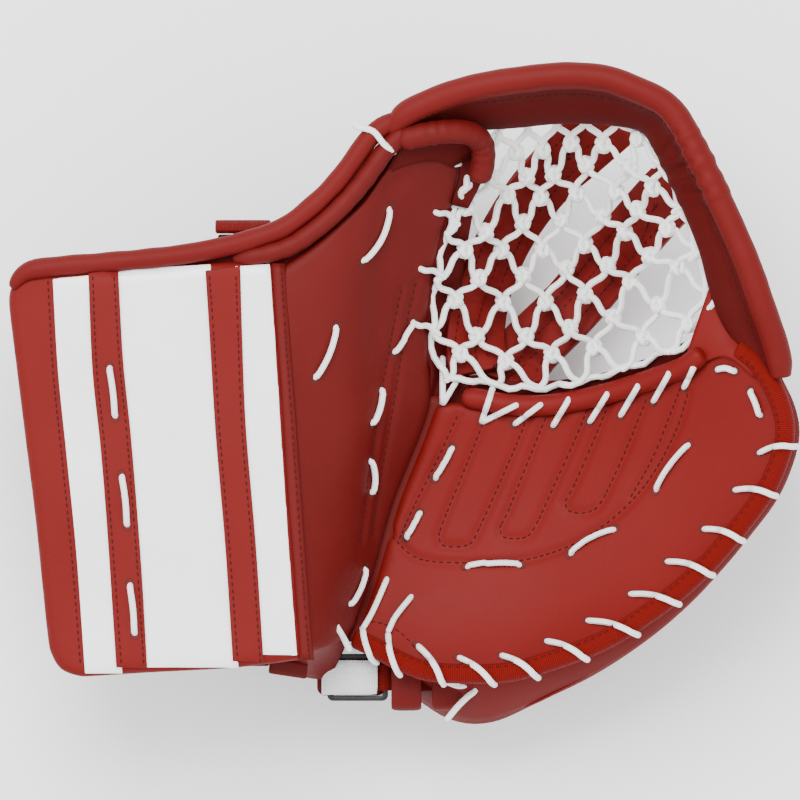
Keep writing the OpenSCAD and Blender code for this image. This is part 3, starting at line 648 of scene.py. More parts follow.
knit = Finish("knit", 0.9, Specular_IOR_Level=0.08)
weave = (knit.axes(knit.place())[0] * 3400).wave()
knit.feed("Base Color", knit.mix(knit.noise(300), (0.004, 0.004, 0.005, 1), (0.010, 0.010, 0.011, 1)))
knit.bump(weave, 0.0002, 0.6)
knit.bump(knit.noise(700), 0.0002, 0.5)
cuff_lining = over("cuff_liner", "cuff_lining", knit.material, 2)
place, _ = arrays(cuff_lining)
place[:, 2] -= 0.0012
put(cuff_lining, place)
press(cuff_lining, [flat([(x, -140), (x - 6, 70)]) for x in (-150, -125, -100, -75)], 0.003, 0.0008, -0.2)
fix(cuff_lining, "thumb")

# ---- thumb side ----
# A padded panel that falls from the cuff to the crease, edged by two rolls of leather
# and closed at its tip by a bent roll. Behind it a moulded shell holds the thumb.


def space(points):
    """Points given in millimetres on the pattern of the glove, as vectors in metres."""
    return [Vector((x + 0.1, y - 2.9, z)) * MM for x, y, z in points]


def loft(name, rings, materials, strips=None, levels=1):
    """A closed skin through rings of points. `strips` says which material each strip has."""
    m = len(rings[0])
    points = [p for ring in rings for p in ring]
    faces = [(i * m + j, (i + 1) * m + j, (i + 1) * m + (j + 1) % m, i * m + (j + 1) % m)
             for i in range(len(rings) - 1) for j in range(m)]
    finishes = [(strips or [0] * m)[j] for i in range(len(rings) - 1) for j in range(m)] + [0, 0]
    faces += [tuple(range(m)), tuple((len(rings) - 1) * m + j for j in reversed(range(m)))]
    mesh = mesh_of(name, points, faces)
    mesh.polygons.foreach_set("material_index", finishes)
    form = bmesh.new()
    form.from_mesh(mesh)
    bmesh.ops.recalc_face_normals(form, faces=form.faces)
    form.to_mesh(mesh)
    form.free()
    piece = show(name, mesh)
    for material in materials:
        piece.data.materials.append(material)
    if levels:
        settle(piece, "SUBSURF", levels=levels, render_levels=levels)
    smooth(piece.data)
    return piece


thumb = over("thumb_panel", "thumb_pad", thumb_leather, 3)
thumb_seams = [flat([(8, 55), (4, 38), (0, 15), (-4, -10), (-9, -38), (-14, -70)]),
               flat([(1, 52), (-3, 34), (-7, 12), (-11, -12), (-15, -38), (-20, -72)])]
press(thumb, thumb_seams, 0.0022, 0.0009)
press(thumb, [flat([(-30, 60), (-26, 20), (-24, -30), (-26, -80)])], 0.012, -0.0022)
press(thumb, [flat([(-34, 88), (-16, 96), (4, 106)])], 0.004, 0.0010)
thumb_top = surface(thumb)
thumb_thread = sew("thumb_thread", thumb_seams, thumb_top)
thumb_runs = [((-5, 92), (-19, 64), 2.5), ((-31, 34), (-42, 7), 1.5), ((7, 36), (-3, 20), -0.5),
              ((-9, 3), (-14, -15), 0.5), ((-15, -32), (-14, -49), 1.2), ((-17, -85), (-25, -104), 0.6)]
thumb_lace = lace("thumb_lace", [lace_run(thumb_top, a, b, bow) for a, b, bow in thumb_runs], "thumb_laces")
thumb_holes = holes("thumb_holes", [p for run in thumb_runs for p in run[:2]], thumb_top)


def roll(name, points, radius, node, material):
    """A cord of foam rolled in leather, with slow ripples, tapering at its ends."""
    line = even(space(points), 44)
    rings = []
    for i, p in enumerate(line):
        way = (line[min(43, i + 1)] - line[max(0, i - 1)]).normalized()
        side = way.cross(Vector((0, 0, 1))).normalized()
        up = side.cross(way)
        taper = min(1, 0.5 + i / 5, 0.6 + (43 - i) / 5)
        r = radius * taper * (1 + 0.035 * sin(i * 1.9) + 0.02 * sin(i * 4.7))
        rings.append([p + (side * cos(2 * pi * k / 12) + up * sin(2 * pi * k / 12)) * r for k in range(12)])
    piece = loft(name, rings, [material])
    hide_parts(node)
    fix(piece, "thumb")
    return piece


roll_outer = roll("roll_outer", [(-189.5, 54, 113), (-187, 59.5, 114.5), (-181, 63.4, 115.5),
                                 (-168, 65.3, 117), (-137, 67.8, 120), (-108, 70.8, 123),
                                 (-86, 74.8, 124.7), (-70, 79.2, 125), (-57, 84, 125.5), (-46, 92, 126),
                                 (-36, 101, 126.5), (-28, 110, 127), (-21.5, 119, 127.5), (-15, 128, 128),
                                 (-7, 134.5, 128.5), (3, 139, 129)], 0.0052, "thumb_roll_outer", rim_leather)
roll_inner = roll("roll_inner", [(-82, 68.5, 121.5), (-64, 71.8, 124.5), (-52, 76.1, 125.3),
                                 (-39.7, 84.6, 126),
                                 (-28.6, 94.7, 126.5), (-20.6, 103.7, 127), (-14.4, 111.8, 127.5),
                                 (-7.6, 121.3, 128), (-1, 128, 128.5), (6, 132, 128)], 0.0050,
                                 "thumb_roll_inner",
                  thumb_leather)
tip_roll = roll("tip_roll", [(-1, 126, 128.5), (6, 128.3, 129.5), (15, 130, 129), (26, 131, 126.5),
                             (35, 129.8, 121),
                             (40, 125, 114), (40.5, 116, 108), (38, 107, 103.5)], 0.0062, "thumb_tip_roll",
                thumb_leather)
# These webs close the gaps round the rolls and the tip in the darker wall leather, whose dark tone is painted
# shade.
fix(web("crown_web", space([(-186, 58, 112), (-168, 64.5, 113), (-137, 67, 115), (-108, 70, 118),
                            (-84, 74, 119),
                            (-62, 81, 119)]),
        space([(-184, 50, 112), (-168, 57, 113), (-137, 59, 115), (-108, 61, 118), (-84, 64, 119),
               (-62, 66, 119)]), 0.0, shaded_wall_leather), "thumb")
roll_web = web("roll_web", space([(-60, 80, 119), (-41, 91, 120), (-25, 106, 121), (-12, 123, 122),
                                  (2, 134, 122)]),
               space([(-58, 68, 119), (-36, 80, 119), (-18, 99, 119), (-3, 116, 117), (8, 121, 115)]), 0.002,
               shaded_wall_leather)
tip_web = web("tip_web", space([(-9, 109, 119), (4, 115, 117), (17, 117, 111), (25, 114, 104)]),
              space([(4, 131, 125), (16, 134, 122), (32, 133, 114), (42, 124, 106)]), 0.001, shaded_wall_leather)
tip_fold = web("tip_fold", space([(22, 123, 109), (28, 119, 103), (29, 110, 97), (25, 96, 92)]),
               space([(44, 130, 106), (43, 121, 102), (40, 108, 98), (33, 94, 92)]), 0.002, shaded_wall_leather)

# The leather of the thumb side goes on down behind the net, darker there as painted shade,
# and a soft strip of it closes the crease between the two pads.
pocket_wall = web("pocket_wall", space([(13, -2, 63), (15, 14, 66), (13, 22, 68), (13, 39, 72), (15, 59, 78),
                                        (19, 78, 84), (24, 94, 90)]),
                  space([(22, -4, 58), (27, 12, 56), (27, 22, 56), (28, 39, 58), (30, 59, 64), (33, 78, 72),
                         (36, 94, 82)]), 0.002, shaded_wall_leather)
corner_fill = web("corner_fill", space([(8, -14, 60), (14, 0, 61), (15, 12, 62)]),
                  space([(40, -7, 62), (41, 2, 60), (40, 12, 57)]), 0.001, shaded_wall_leather)
palm_wall = web("palm_wall", space([(34, -4, 62), (64, -8, 66), (98, -3, 76), (132, 8, 93), (150, 19, 105)]),
                space([(34, 12, 60), (64, 9, 66), (98, 13, 76), (132, 25, 96), (148, 34, 105)]), 0.001,
                shaded_wall_leather)
crown_fill = web("crown_fill", space([(-64, 60, 118), (-52, 66, 119), (-38, 74, 119), (-24, 88, 120)]),
                 space([(-66, 72, 118), (-54, 78, 119), (-41, 87, 119), (-30, 97, 120)]), 0.0, shaded_wall_leather)
for piece in (corner_fill, palm_wall, crown_fill):
    bends(piece)
crease_strip = web("crease_strip", space([(-30, -118, 76), (-24.5, -104, 68), (-18.5, -86, 63),
                                          (-13.5, -69, 61),
                                          (-7.5, -49, 60), (-0.5, -32, 60), (6.5, -15, 61), (12, 2, 63)]),
                   space([(-17, -119, 78), (-12.5, -104, 70), (-7, -86, 65), (-2, -69, 62.5), (4, -49, 61.5),
                          (11, -32, 61.5), (18, -15, 62.5), (23, 2, 64)]), 0.0012, thumb_leather)
for piece in (roll_web, tip_web, tip_fold, pocket_wall, crease_strip):
    bends(piece)

thumb_shell = over("thumb_shell", "thumb_backing", shell_leather, 2)
thumb_lining = over("thumb_lining", "thumb_sleeve", knit.material, 2)
fix(thumb_lining, "thumb")

# ---- palm ----
# The catching pad: leather over dense foam, quilted in slanting channels near the
# pocket, rolled over a cord at the pocket's edge and bound with ribbed tape outside.
palm = over("palm_panel", "palm_pad", palm_leather, 3)
channels = [
    [(28.6, -7), (18, -30), (6, -54), (-0.5, -68.6)],
    [(41, -11), (31, -36), (22, -58), (19, -67), (20, -71), (27, -72.2), (34, -71), (38, -65), (49, -41),
     (58, -20),
     (64, -5)],
    [(73, -5), (63, -30), (53, -55), (49, -63), (50, -67), (56.5, -68.2), (62.5, -67), (67, -61), (78, -37),
     (87, -17), (92, -4)],
    [(104, 2), (95, -20), (85, -43), (81, -50), (82, -54), (88.5, -55.6), (95, -54), (100, -48), (111, -24),
     (121, 1)],
    [(137.6, 6.7), (132, -8), (124, -28), (113, -48)],
    [(-7, -62), (-2, -69), (9, -78), (30, -80), (58, -79), (80, -73), (98, -63), (114, -49), (126, -33),
     (136, -13),
     (141, 4)],
]
channel_lines = [smooth_line(flat([(x, y - 3) for x, y in line]), 0.003) for line in channels]
palm_rim = smooth_line(space([
    (-24, -117, 80), (-12, -121, 83), (0, -126, 85), (15, -130, 88), (34, -131, 92), (54, -130, 96),
    (75, -124, 101), (96, -116, 106), (115, -105, 110), (134, -91, 114), (150, -76, 117), (164, -61, 120),
    (177, -45, 122), (184.5, -30, 124), (188, -16, 125), (186, -4, 125), (180, 9, 124), (172, 19, 122),
    (163, 25, 119.5)]), 0.004)
rim_xy = np.array([[p.x, p.y] for p in palm_rim])
rim_way = np.gradient(rim_xy, axis=0)
rim_out = np.stack([rim_way[:, 1], -rim_way[:, 0]], axis=1) / np.linalg.norm(rim_way, axis=1)[:, None]
rim_reach = 0.0048 * np.interp(rim_xy[:, 0], [-0.024, 0.012, 0.150, 0.188], [0.15, 1, 0.9, 0.3])


def ease_out(piece, depth=0.04, share=1.0):
    """Fills the piece out towards the rim of the palm, where the pad is fullest."""
    place, _ = arrays(piece)
    gap = np.linalg.norm(place[:, None, :2] - rim_xy[None], axis=2)
    near = gap.argmin(axis=1)
    pull = np.clip(1 - gap.min(axis=1) / depth, 0, 1) ** 1.3
    place[:, :2] += rim_out[near] * (rim_reach[near] * pull * share)[:, None]
    put(piece, place)


ease_out(palm)
press(palm, channel_lines, 0.0024, 0.0011)
palm_top = surface(palm)
palm_thread = sew("palm_thread", [flat([(x, y - 3) for x, y in line]) for line in channels], palm_top)

patch_seam = sew("patch_seam", [flat([(-27, -124), (-21, -116), (-15, -112), (-8, -113), (0, -117),
                                      (8, -125)])],
                 palm_top)
palm_runs = [((26, -26), (17, -42), 0.5), ((10, -58), (3, -71), 0.5), ((32, -85), (60, -84), 1.2),
             ((83, -79), (106, -66), 1.2), ((125, -48), (142, -24), 1.2), ((155, 12), (164, 11), 1.5),
             ((171, 2), (176, -11), 0.8)]
palm_lace = lace("palm_lace", [lace_run(palm_top, a, b, bow) for a, b, bow in palm_runs], "palm_laces")
palm_holes = holes("palm_holes", [p for run in palm_runs for p in run[:2]], palm_top)

edge_roll = over("palm_edge_roll", "pocket_roll", palm_leather, 2)
place, normal = arrays(edge_roll)
place += normal * 0.0009
place += np.array([0.0003, -0.0030, -0.0006])
put(edge_roll, place)
palm_lining = over("palm_lining", "palm_inner", knit.material, 2)

for piece in (patch_seam, thumb, thumb_thread, thumb_lace, thumb_holes, thumb_shell, palm, palm_thread,
              palm_lace,
              palm_holes, edge_roll, palm_lining):
    bends(piece)

# Ribbed tape is folded over the palm's rim and sewn down, with the lace whipped over it.

tape_red = Finish("tape_red", 0.75, Specular_IOR_Level=0.12)
rib = tape_red.node("ShaderNodeAttribute", {"attribute_name": "along"}, output="Fac")
ribs = (rib * (2 * pi / 0.0011)).wave()
tape_red.feed("Base Color", tape_red.mix(ribs * 0.5 + 0.5, paint(84, 3, 1), paint(112, 6, 3)))
tape_red.bump(ribs, 0.0002, 0.8)
tape_red.bump(tape_red.noise(900), 0.00012, 0.5)


def mark_along(piece, line):
    """Stores how far along a plan line each vertex lies, for patterns that follow it."""
    place = arrays(piece)[0][:, :2]
    best = np.full(len(place), 1e9)
    value = np.zeros(len(place))
    reach = 0.0
    for a, b in zip(line[:-1], line[1:]):
        a, b = np.array(a[:2]), np.array(b[:2])
        d = b - a
        length = np.linalg.norm(d)
        t = np.clip(((place - a) @ d) / max(length ** 2, 1e-12), 0, 1)
        gap = np.linalg.norm(place - (a + t[:, None] * d), axis=1)
        near = gap < best
        best[near] = gap[near]
        value[near] = (reach + t * length)[near]
        reach += length
    piece.data.attributes.new("along", "FLOAT", "POINT").data.foreach_set("value", value)


tape_path = [p + Vector((*(o * r), 0)) for p, o, r in zip(palm_rim, rim_out, rim_reach)]


def bound(name, path, outs, height, node, reach=0.0065, flip=1):
    """Tape folded over an edge: a flat leg on top, the turn, and a leg underneath."""
    rings = []
    for i, (p, o) in enumerate(zip(path, outs)):
        out = Vector((*o, 0))
        wave = 0.00025 * sin(i * 1.7)
        profile = [(-reach, 0.0012 + wave), (-reach * 0.5, 0.0018), (0.0002, 0.0016), (0.0026, 0.0002),
                   (0.0036, -0.003), (0.0036, -height * 0.6), (0.0028, -height + 0.001),
                   (0.0002, -height - 0.001),
                   (-reach * 0.8, -height - 0.0012), (-reach * 0.8, -height + 0.0002), (0, -height + 0.0006),
                   (0.0014, -height * 0.6), (0.0014, -0.003), (0, -0.0004), (-reach, 0.0)]
        rings.append([p + out * x + Vector((0, 0, z)) for x, z in profile])
    piece = loft(name, rings, [tape_red.material])
    mark_along(piece, path)
    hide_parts(node)
    fix(piece, "palm")
    return piece


palm_tape = bound("palm_tape", tape_path, rim_out, 0.014, "palm_binding")
fix(sew("tape_seam", [[p - Vector((*o, 0)) * 0.0048 for p, o in zip(tape_path, rim_out)][1:-1]],
        surface(palm_tape)), "palm")

# ---- backhand ----
# A padded shell protects the back of the hand and carries a hard plate. The hand goes
# in from the crease side, under an elastic strap.
backhand = over("backhand_shell", "backhand", shell_leather, 3)
quilts = [flat([(x, -130 + abs(x - 60) * 0.3), (x + 14, -70), (x + 26, -10)]) for x in (20, 50, 80, 110)]
press(backhand, [smooth_line(line, 0.004) for line in quilts], 0.0035, 0.0016, -0.05)
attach(backhand, "palm")
ease_out(backhand, 0.05, 0.9)
shell_rim = smooth_line(space([
    (-14, -117, 40), (-4, -128, 41), (10, -140, 43), (27, -151, 46), (44, -152, 52), (66, -142, 63),
    (92, -129, 76), (116, -113, 88), (136, -96, 95), (152, -79, 100), (166, -62, 103), (178, -46, 105),
    (185, -31, 107), (188.5, -17, 108), (186.5, -5, 108), (180.5, 8, 107)]), 0.004)
shell_tape = over("backhand_binding", "backhand_tape", tape_red.material, 3)
ease_out(shell_tape, 0.05, 0.9)
mark_along(shell_tape, shell_rim)
fix(shell_tape, "palm")
shell_xy = np.array([[p.x, p.y] for p in shell_rim])
shell_way = np.gradient(shell_xy, axis=0)
shell_foot = [p + Vector((w[1], -w[0], 0)).normalized() * 0.0062 + Vector((0, 0, 0.0006))
              for p, w in zip(shell_rim, shell_way)]
fix(web("side_wall", [p - Vector((*o, 0)) * 0.0045 - Vector((0, 0, 0.012)) for p,
                      o in zip(tape_path, rim_out)],
        shell_foot, -0.003, shell_leather, 0.002), "palm")
# The finger wall is in the darker wall leather, as painted shade.
gusset = over("finger_gusset", "finger_wall", shaded_wall_leather, 2)
fix(gusset, "palm")

moulded = Finish("moulded", 0.55, Specular_IOR_Level=0.2)
moulded.feed("Base Color", moulded.mix(moulded.noise(120), (0.005, 0.005, 0.006, 1),
                                       (0.010, 0.010, 0.011, 1)))
moulded.bump(moulded.noise(1500), 0.00015, 0.6)
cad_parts["backhand_plate"].data.materials.clear()
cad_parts["backhand_plate"].data.materials.append(moulded.material)

elastic = Finish("elastic", 0.85, Specular_IOR_Level=0.08)
warp, weft = elastic.axes(elastic.place())
cross = (warp * 4200).wave() * (weft * 4200).wave()
elastic.feed("Base Color", elastic.mix(cross * 0.5 + 0.5, (0.004, 0.004, 0.004, 1), (0.011, 0.011, 0.012, 1)))
elastic.bump(cross, 0.00025, 0.8)
hand_band = over("hand_strap", "hand_band", elastic.material, 2, 0.7)
fix(hand_band, "palm")

# ---- rims ----
# Foam rolled in leather frames the pocket: a fat roll in front, then a flat wall that
# the net is tied to, darker as painted shade. The two rims meet in a soft, creased corner.
rim_front = space([(-6, 131, 127), (-2, 134.5, 129), (4, 140.5, 131), (22, 148.5, 133), (40, 153.5, 134),
                   (59, 156.5, 135), (80, 158.5, 136), (100, 157, 137), (114, 152, 138), (122, 148.5, 138),
                   (129, 144.5, 138), (135, 138, 138), (141, 127, 138), (151, 107, 138), (161, 86, 137),
                   (170, 65, 136), (177, 45, 133), (182, 31, 129), (185, 20, 126), (186, 10, 124)])
rim_back = space([(2, 127, 122), (6, 128, 118), (12, 130, 110), (24, 132, 103), (39, 133, 99), (56, 134, 98),
                  (76, 136, 98), (93, 136, 100), (106, 135, 103), (113, 134, 105), (119, 132, 107),
                  (122, 128, 109), (127, 119, 112), (134, 104, 114), (141, 88, 115), (147, 72, 115),
                  (151, 56, 113),
                  (156, 42, 111), (162, 31, 111), (170, 22, 113)])
rim_count = 96
F, B = even(rim_front, rim_count), even(rim_back, rim_count)
rim_rings = []
for i in range(rim_count):
    f, b = F[i], B[i]
    way = (F[min(rim_count - 1, i + 1)] - F[max(0, i - 1)]).normalized()
    down = ((b - f) - (b - f).dot(way) * way).normalized()
    top_way = down.cross(way)
    if top_way.z < 0:
        top_way = -top_way
    at_corner = np.exp(-((i - 58) / 6) ** 2)
    fat = 0.0064 * (1 + 0.012 * sin(i * 1.3) + at_corner * (0.10 * sin(i * 2.3) + 0.05 * sin(i * 5.1)))
    fat *= min(1, 0.55 + i / 9, 0.75 + (rim_count - 1 - i) / 12)
    fat *= 1 + 0.05 * np.exp(-((i - 58.5) / 7) ** 4)
    ring = [f + (top_way * cos(radians(g)) - down * sin(radians(g))) * fat for g in range(210, -31, -24)]
    depth = (b - f).length
    crumple = at_corner * 0.0016 * sin(i * 1.7 + 1)
    for share, lift in ((0.36, 0.0030), (0.52, 0.0042), (0.72, 0.0046), (0.9, 0.0036), (1.0, 0.0016),
                        (1.0, -0.0016),
                        (0.8, -0.0034), (0.5, -0.0036)):
        ring.append(f + (b - f) * share + top_way * (lift + crumple * (share < 1)))
    rim_rings.append(ring)
# Material 1, the darker wall leather, goes on the wall's strips as painted shade.
rim_strips = [0] * 10 + [1] * 8 + [0]
for name, node, first, final, body, slot_name in (
        ("rim_top", "top_rim", 0, 55, "both", "thumb_leather"),
        ("rim_fold", "rim_corner", 52, 66, "both", "thumb_leather"),
        ("rim_side", "side_rim", 63, rim_count, "palm", "palm_leather")):
    rings = rim_rings[first:final]
    if name == "rim_fold":
        centres = [sum(ring, Vector()) / len(ring) for ring in rings]
        rings = [[c + (p - c) * 1.02 for p in ring] for c, ring in zip(centres, rings)]
    rim = loft(name, rings, [rim_leather, shaded_wall_leather], rim_strips, 2)
    creases = []
    if name != "rim_side":
        for k in range(6):
            p = F[min(rim_count - 2, 51 + 3 * k)]
            q = B[min(rim_count - 2, 54 + 2 * k)]
            creases.append([p.lerp(q, 0.3), p.lerp(q, 0.9)])
        press(rim, creases, 0.0014, 0.0008)
    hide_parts(node)
    fix(rim, body)
    wall_line = [f + (b - f) * 0.42 for f, b in zip(F, B)][max(2, first + 1):final - 1]
    fix(sew(name + "_thread", [wall_line[::3] + [wall_line[-1]]], surface(rim)), body)

fix(web("corner_web", space([(152, 58, 112.5), (156, 44, 112), (161, 34, 113), (169, 26, 117),
                             (181, 14, 121)]),
        space([(137, 13, 104), (143, 16, 107), (150, 19, 112), (160, 21, 117.5), (173, 11, 121)]), -0.0015,
        palm_leather), "palm")

# ---- T straps ----
# Two leather straps cross the back of the pocket. Each is folded double, sewn down its
# middle and edges, and creased across where it flexes.
for node, name, line in (
        ("t_strap_left", "strap_left", [(41, 14), (40, 29), (46, 51), (56, 75), (71, 98), (86, 114),
                                        (93, 121)]),
        ("t_strap_right", "strap_right", [(54, 13), (62, 27), (78, 44), (91, 59), (108, 79), (120, 92),
                                          (126, 98)])):
    strap = over(node, name, palm_leather, 3, 0.5)
    if name == "strap_left":
        place, _ = arrays(strap)
        tail = (flat(line)[-1] - flat(line)[-2]).normalized()
        beyond = (place[:, 0] - line[-2][0] * MM) * tail.x + (place[:, 1] - line[-2][1] * MM) * tail.y
        place[:, :2] += np.clip(beyond, 0, None)[:, None] * np.array([tail.x, tail.y]) * 0.8
        put(strap, place)
    middle_line = smooth_line(flat(line), 0.003)
    press(strap, [middle_line], 0.0014, 0.0009)
    creases = []
    for i in range(2, len(middle_line) - 2, 4):
        way = (middle_line[i + 1] - middle_line[i - 1]).normalized()
        aside = Vector((-way.y, way.x, 0)) * 0.018
        creases.append([middle_line[i] - aside, middle_line[i] + aside + way * 0.003])
    press(strap, creases, 0.0011, 0.0005)
    top = surface(strap)
    rows = []
    for offset in (-0.0125, -0.0028, 0.0028, 0.0125):
        row = []
        for i in range(1, len(middle_line) - 1):
            way = (middle_line[i + 1] - middle_line[i - 1]).normalized()
            row.append(middle_line[i] + Vector((-way.y, way.x, 0)) * offset)
        rows.append(row[::3] + [row[-1]])
    strap_thread = sew(name + "_thread", rows, top)
    bends(strap)
    bends(strap_thread)

# ---- net ----
# The pocket is a net of the same white lace, knotted in diamonds that hang slack, and
# tied to the palm, the thumb side and the rims by its outer loops.
net_points, _ = arrays(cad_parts["pocket_net"])
net_tree = KDTree(len(net_points))
for index, point in enumerate(net_points):
    net_tree.insert((point[0], point[1], 0), index)
net_tree.balance()


def net_level(x, y):
    """Height of the hanging net at a place, from the cords of the frame near it."""
    total, weight = 0.0, 0.0
    for _, index, gap in net_tree.find_n((x, y, 0), 14):
        w = 1 / (gap + 0.001) ** 2
        total += net_points[index][2] * w
        weight += w
    return total / weight


net_heel = smooth_line(flat([(23, 7), (36, 7), (49, 4), (64, 3), (78, 4), (96, 8), (114, 14), (127, 19),
                             (137, 23),
                             (151, 29)]), 0.004)
net_crown = smooth_line(flat([(36, 122), (53, 131), (69, 134), (84, 136), (100, 136), (113, 135),
                              (121, 134)]), 0.004)
net_thumb = smooth_line(flat([(23, 7), (17, 19), (16, 36), (18, 56), (22, 75), (28, 93), (33, 107),
                              (36, 122)]), 0.004)
net_rim = smooth_line(flat([(151, 29), (151, 41), (149, 53), (145, 70), (139, 87), (132, 103), (126, 118),
                            (121, 134)]), 0.004)


def on_line(line, t):
    t = max(0, min(1, t)) * (len(line) - 1)
    i = min(len(line) - 2, int(t))
    return line[i].lerp(line[i + 1], t - i)


def net_place(u, v):
    """A place on the net, u from the thumb to the rim and v from the palm to the crown."""
    p = (on_line(net_heel, u).lerp(on_line(net_crown, u), v) + on_line(net_thumb,
                                                                       v).lerp(on_line(net_rim, v), u)
         - net_heel[0].lerp(net_heel[-1], u).lerp(net_crown[0].lerp(net_crown[-1], u), v))
    return Vector((p.x, p.y, net_level(p.x, p.y)))


columns, rows = 12, 10
rng = np.random.default_rng(7)
nudge = {}


def knot_place(i, j):
    """Place of the knot in column i / 2 and row j / 2 of the net."""
    if (i, j) not in nudge:
        inside = 0 < i < columns and 0 < j < rows
        nudge[(i, j)] = rng.normal(0, 0.0014, 3) if inside else np.zeros(3)
    return net_place(i / columns, j / rows) + Vector(nudge[(i, j)])


net_runs = []
knots = []
for j in range(rows + 1):
    for i in range(j % 2, columns + 1, 2):
        here = knot_place(i, j)
        if 0 < i < columns and 0 < j < rows:
            knots.append((i, j))
        for di in (-1, 1):
            if j < rows and 0 <= i + di <= columns:
                there = knot_place(i + di, j + 1)
                span = there - here
                aside = Vector((-span.y, span.x, 0)).normalized()
                slack = 0.0014 * di * (1 if j % 2 else -1)
                net_runs.append([here + span * s + aside * slack * sin(2 * pi * s)
                                 + Vector((0, 0, -0.0008 * sin(pi * s))) for s in np.linspace(0, 1, 9)])


def knot_turns(i, j):
    """The two turns of lace that make one knot."""
    centre = knot_place(i, j)
    turns = []
    for tilt in (-0.62, 0.62):
        turn = []
        spin = Matrix.Rotation(tilt, 3, "Z") @ Matrix.Rotation(0.5 * (1 if (i + j) % 4 else -1), 3, "Y")
        for k in range(13):
            g = 2 * pi * k / 12
            turn.append(centre + spin @ Vector((0.0023 * cos(g), 0.0031 * sin(g), 0.0013 * cos(g * 2))))
        turns.append(turn)
    return turns


knot_runs = [turn for i, j in knots for turn in knot_turns(i, j)]
net_radius = 0.00165
for edge in (net_heel, net_crown, net_thumb, net_rim):
    net_runs.append([Vector((p.x + 0.0012 * sin(k * 1.1), p.y + 0.0011 * sin(k * 1.4 + 1),
                             net_level(p.x, p.y) + 0.0012 * sin(k * 1.3))) for k, p in enumerate(edge)])
net_mesh = tubes("pocket_lace", net_runs + knot_runs, net_radius, sides=8)
net = show("pocket_lace", net_mesh, lace_white.material)
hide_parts("pocket_net")
bends(net)

# ---- lacing round the edges ----
# One lace ties the palm's rolled edge to the net, another is whipped over the palm's
# tape, and short ties hold the net to the thumb side and to the rim.
roll_top = surface(edge_roll)
pocket_runs = []
for (ax, ay), (bx, by) in (((21, -5), (21, 13)), ((21, -5), (27, 5)), ((40, -14), (44, -2)),
                           ((40, -14), (56, -6)),
                           ((56, -15), (68, -6)), ((75, -16), (82, -4)), ((93, -14), (101, -1)),
                           ((108, -11), (116, 3)), ((124, -4), (131, 9)), ((139, 3), (143, 12))):
    a, b = flat([(ax, ay), (bx, by)])
    run = []
    for k in range(15):
        s = k / 14
        at = a.lerp(b, s)
        under, _ = drop(palm_top, at)
        roll_hit, _ = below(roll_top, at)
        z = max(under.z, roll_hit.z) if roll_hit else under.z
        sink = -0.0045 * max(0, 1 - s / 0.1)
        run.append(Vector((at.x, at.y, z + lace_radius * (0.8 + 0.3 * sin(pi * s)) + sink)))
    end = run[-1]
    way = (b - a).normalized()
    run += [end + way * 0.0035 + Vector((0, 0, -0.0025)), end + way * 0.005 + Vector((0, 0, -0.0075))]
    pocket_runs.append(smooth_line(run[::2] + [run[-1]], 0.0018))
pocket_lacing = lace("pocket_lacing", pocket_runs, "edge_laces")
pocket_holes = holes("pocket_holes", [(21, -5), (40, -14), (56, -15), (75, -16), (93, -14), (108, -11),
                                      (124, -4),
                                      (139, 3)], palm_top)
bends(pocket_lacing)
bends(pocket_holes)

tape_top = surface(palm_tape)
whips = [((175, -29), (193, -26)), ((163, -47), (183, -50)), ((148, -66), (167, -72)),
         ((130, -82), (151, -88)),
         ((112, -98), (136, -103)), ((91, -111), (116, -118)), ((71, -121), (91, -130)),
         ((49, -128), (67, -139)),
         ((28, -129), (46, -143)), ((8, -123), (21, -143))]
whip_runs = []
for hole, far in whips:
    a, b = flat([hole, far])
    across = Vector(((b - a).y, -(b - a).x, 0)).normalized()
    if across.y < 0:
        across = -across
    run = []
    for k in range(21):
        s = k / 20
        at = a.lerp(b, s) + across * 0.0021 * sin(pi * s)
        levels = []
        for tree in (palm_top, tape_top):
            hit, hit_normal = below(tree, at)
            if hit and hit_normal.z > 0.05:
                levels.append(hit.z)
        if levels and (not run or max(levels) > run[-1].z - 0.012):
            z = max(levels) + lace_radius * 1.0 - 0.005 * max(0, 1 - s / 0.12)
            run.append(Vector((at.x, at.y, z)))
        else:
            break
    end = run[-1]
    on = (b - a).normalized()
    run += [end + on * 0.0016 + Vector((0, 0, -0.0014)), end + on * 0.0023 + Vector((0, 0, -0.0042)),
            end + on * 0.0018 + Vector((0, 0, -0.0080))]
    whip_runs.append(smooth_line(run[::2] + [run[-1]], 0.0016))
fix(lace("palm_whipping", whip_runs, "perimeter_lace"), "palm")
fix(holes("whip_holes", [hole for hole, far in whips], palm_top), "palm")

rim_ties = []
for t, rise in ((0.2, 0.002), (0.43, 0.001), (0.66, 0.003), (0.88, 0.004)):
    p = on_line(net_thumb, t)
    z = net_level(p.x, p.y)
    leather_place, _ = drop(thumb_top, p + Vector((-0.0085, 0.001, 0)))
    rim_ties.append(smooth_line([Vector((p.x + 0.003, p.y - 0.002, z)),
                                 Vector((p.x - 0.002, p.y + rise, z + 0.003)),
                                 Vector((p.x - 0.006, p.y + rise, (z + leather_place.z) / 2 + 0.004)),
                                 leather_place + Vector((0, rise, 0.0006))], 0.0015))
for t in (0.12, 0.36, 0.6, 0.82):
    p = on_line(net_rim, t)
    z = net_level(p.x, p.y)
    rim_ties.append(smooth_line([Vector((p.x - 0.003, p.y - 0.003, z)),
                                 Vector((p.x + 0.002, p.y + 0.002, z + 0.004)),
                                 Vector((p.x + 0.005, p.y + 0.008, z + 0.003))], 0.0015))
fix(lace("rim_ties", rim_ties, "rim_laces"), "both")

fix(lace("roll_tie", [smooth_line([Vector(p) * MM for p in (
    (-22, 131, 126), (-20, 130, 131.5), (-13, 128, 133.2), (-8, 122, 133), (-4, 119, 131), (-3, 118, 126))],
    0.0018)]), "thumb")

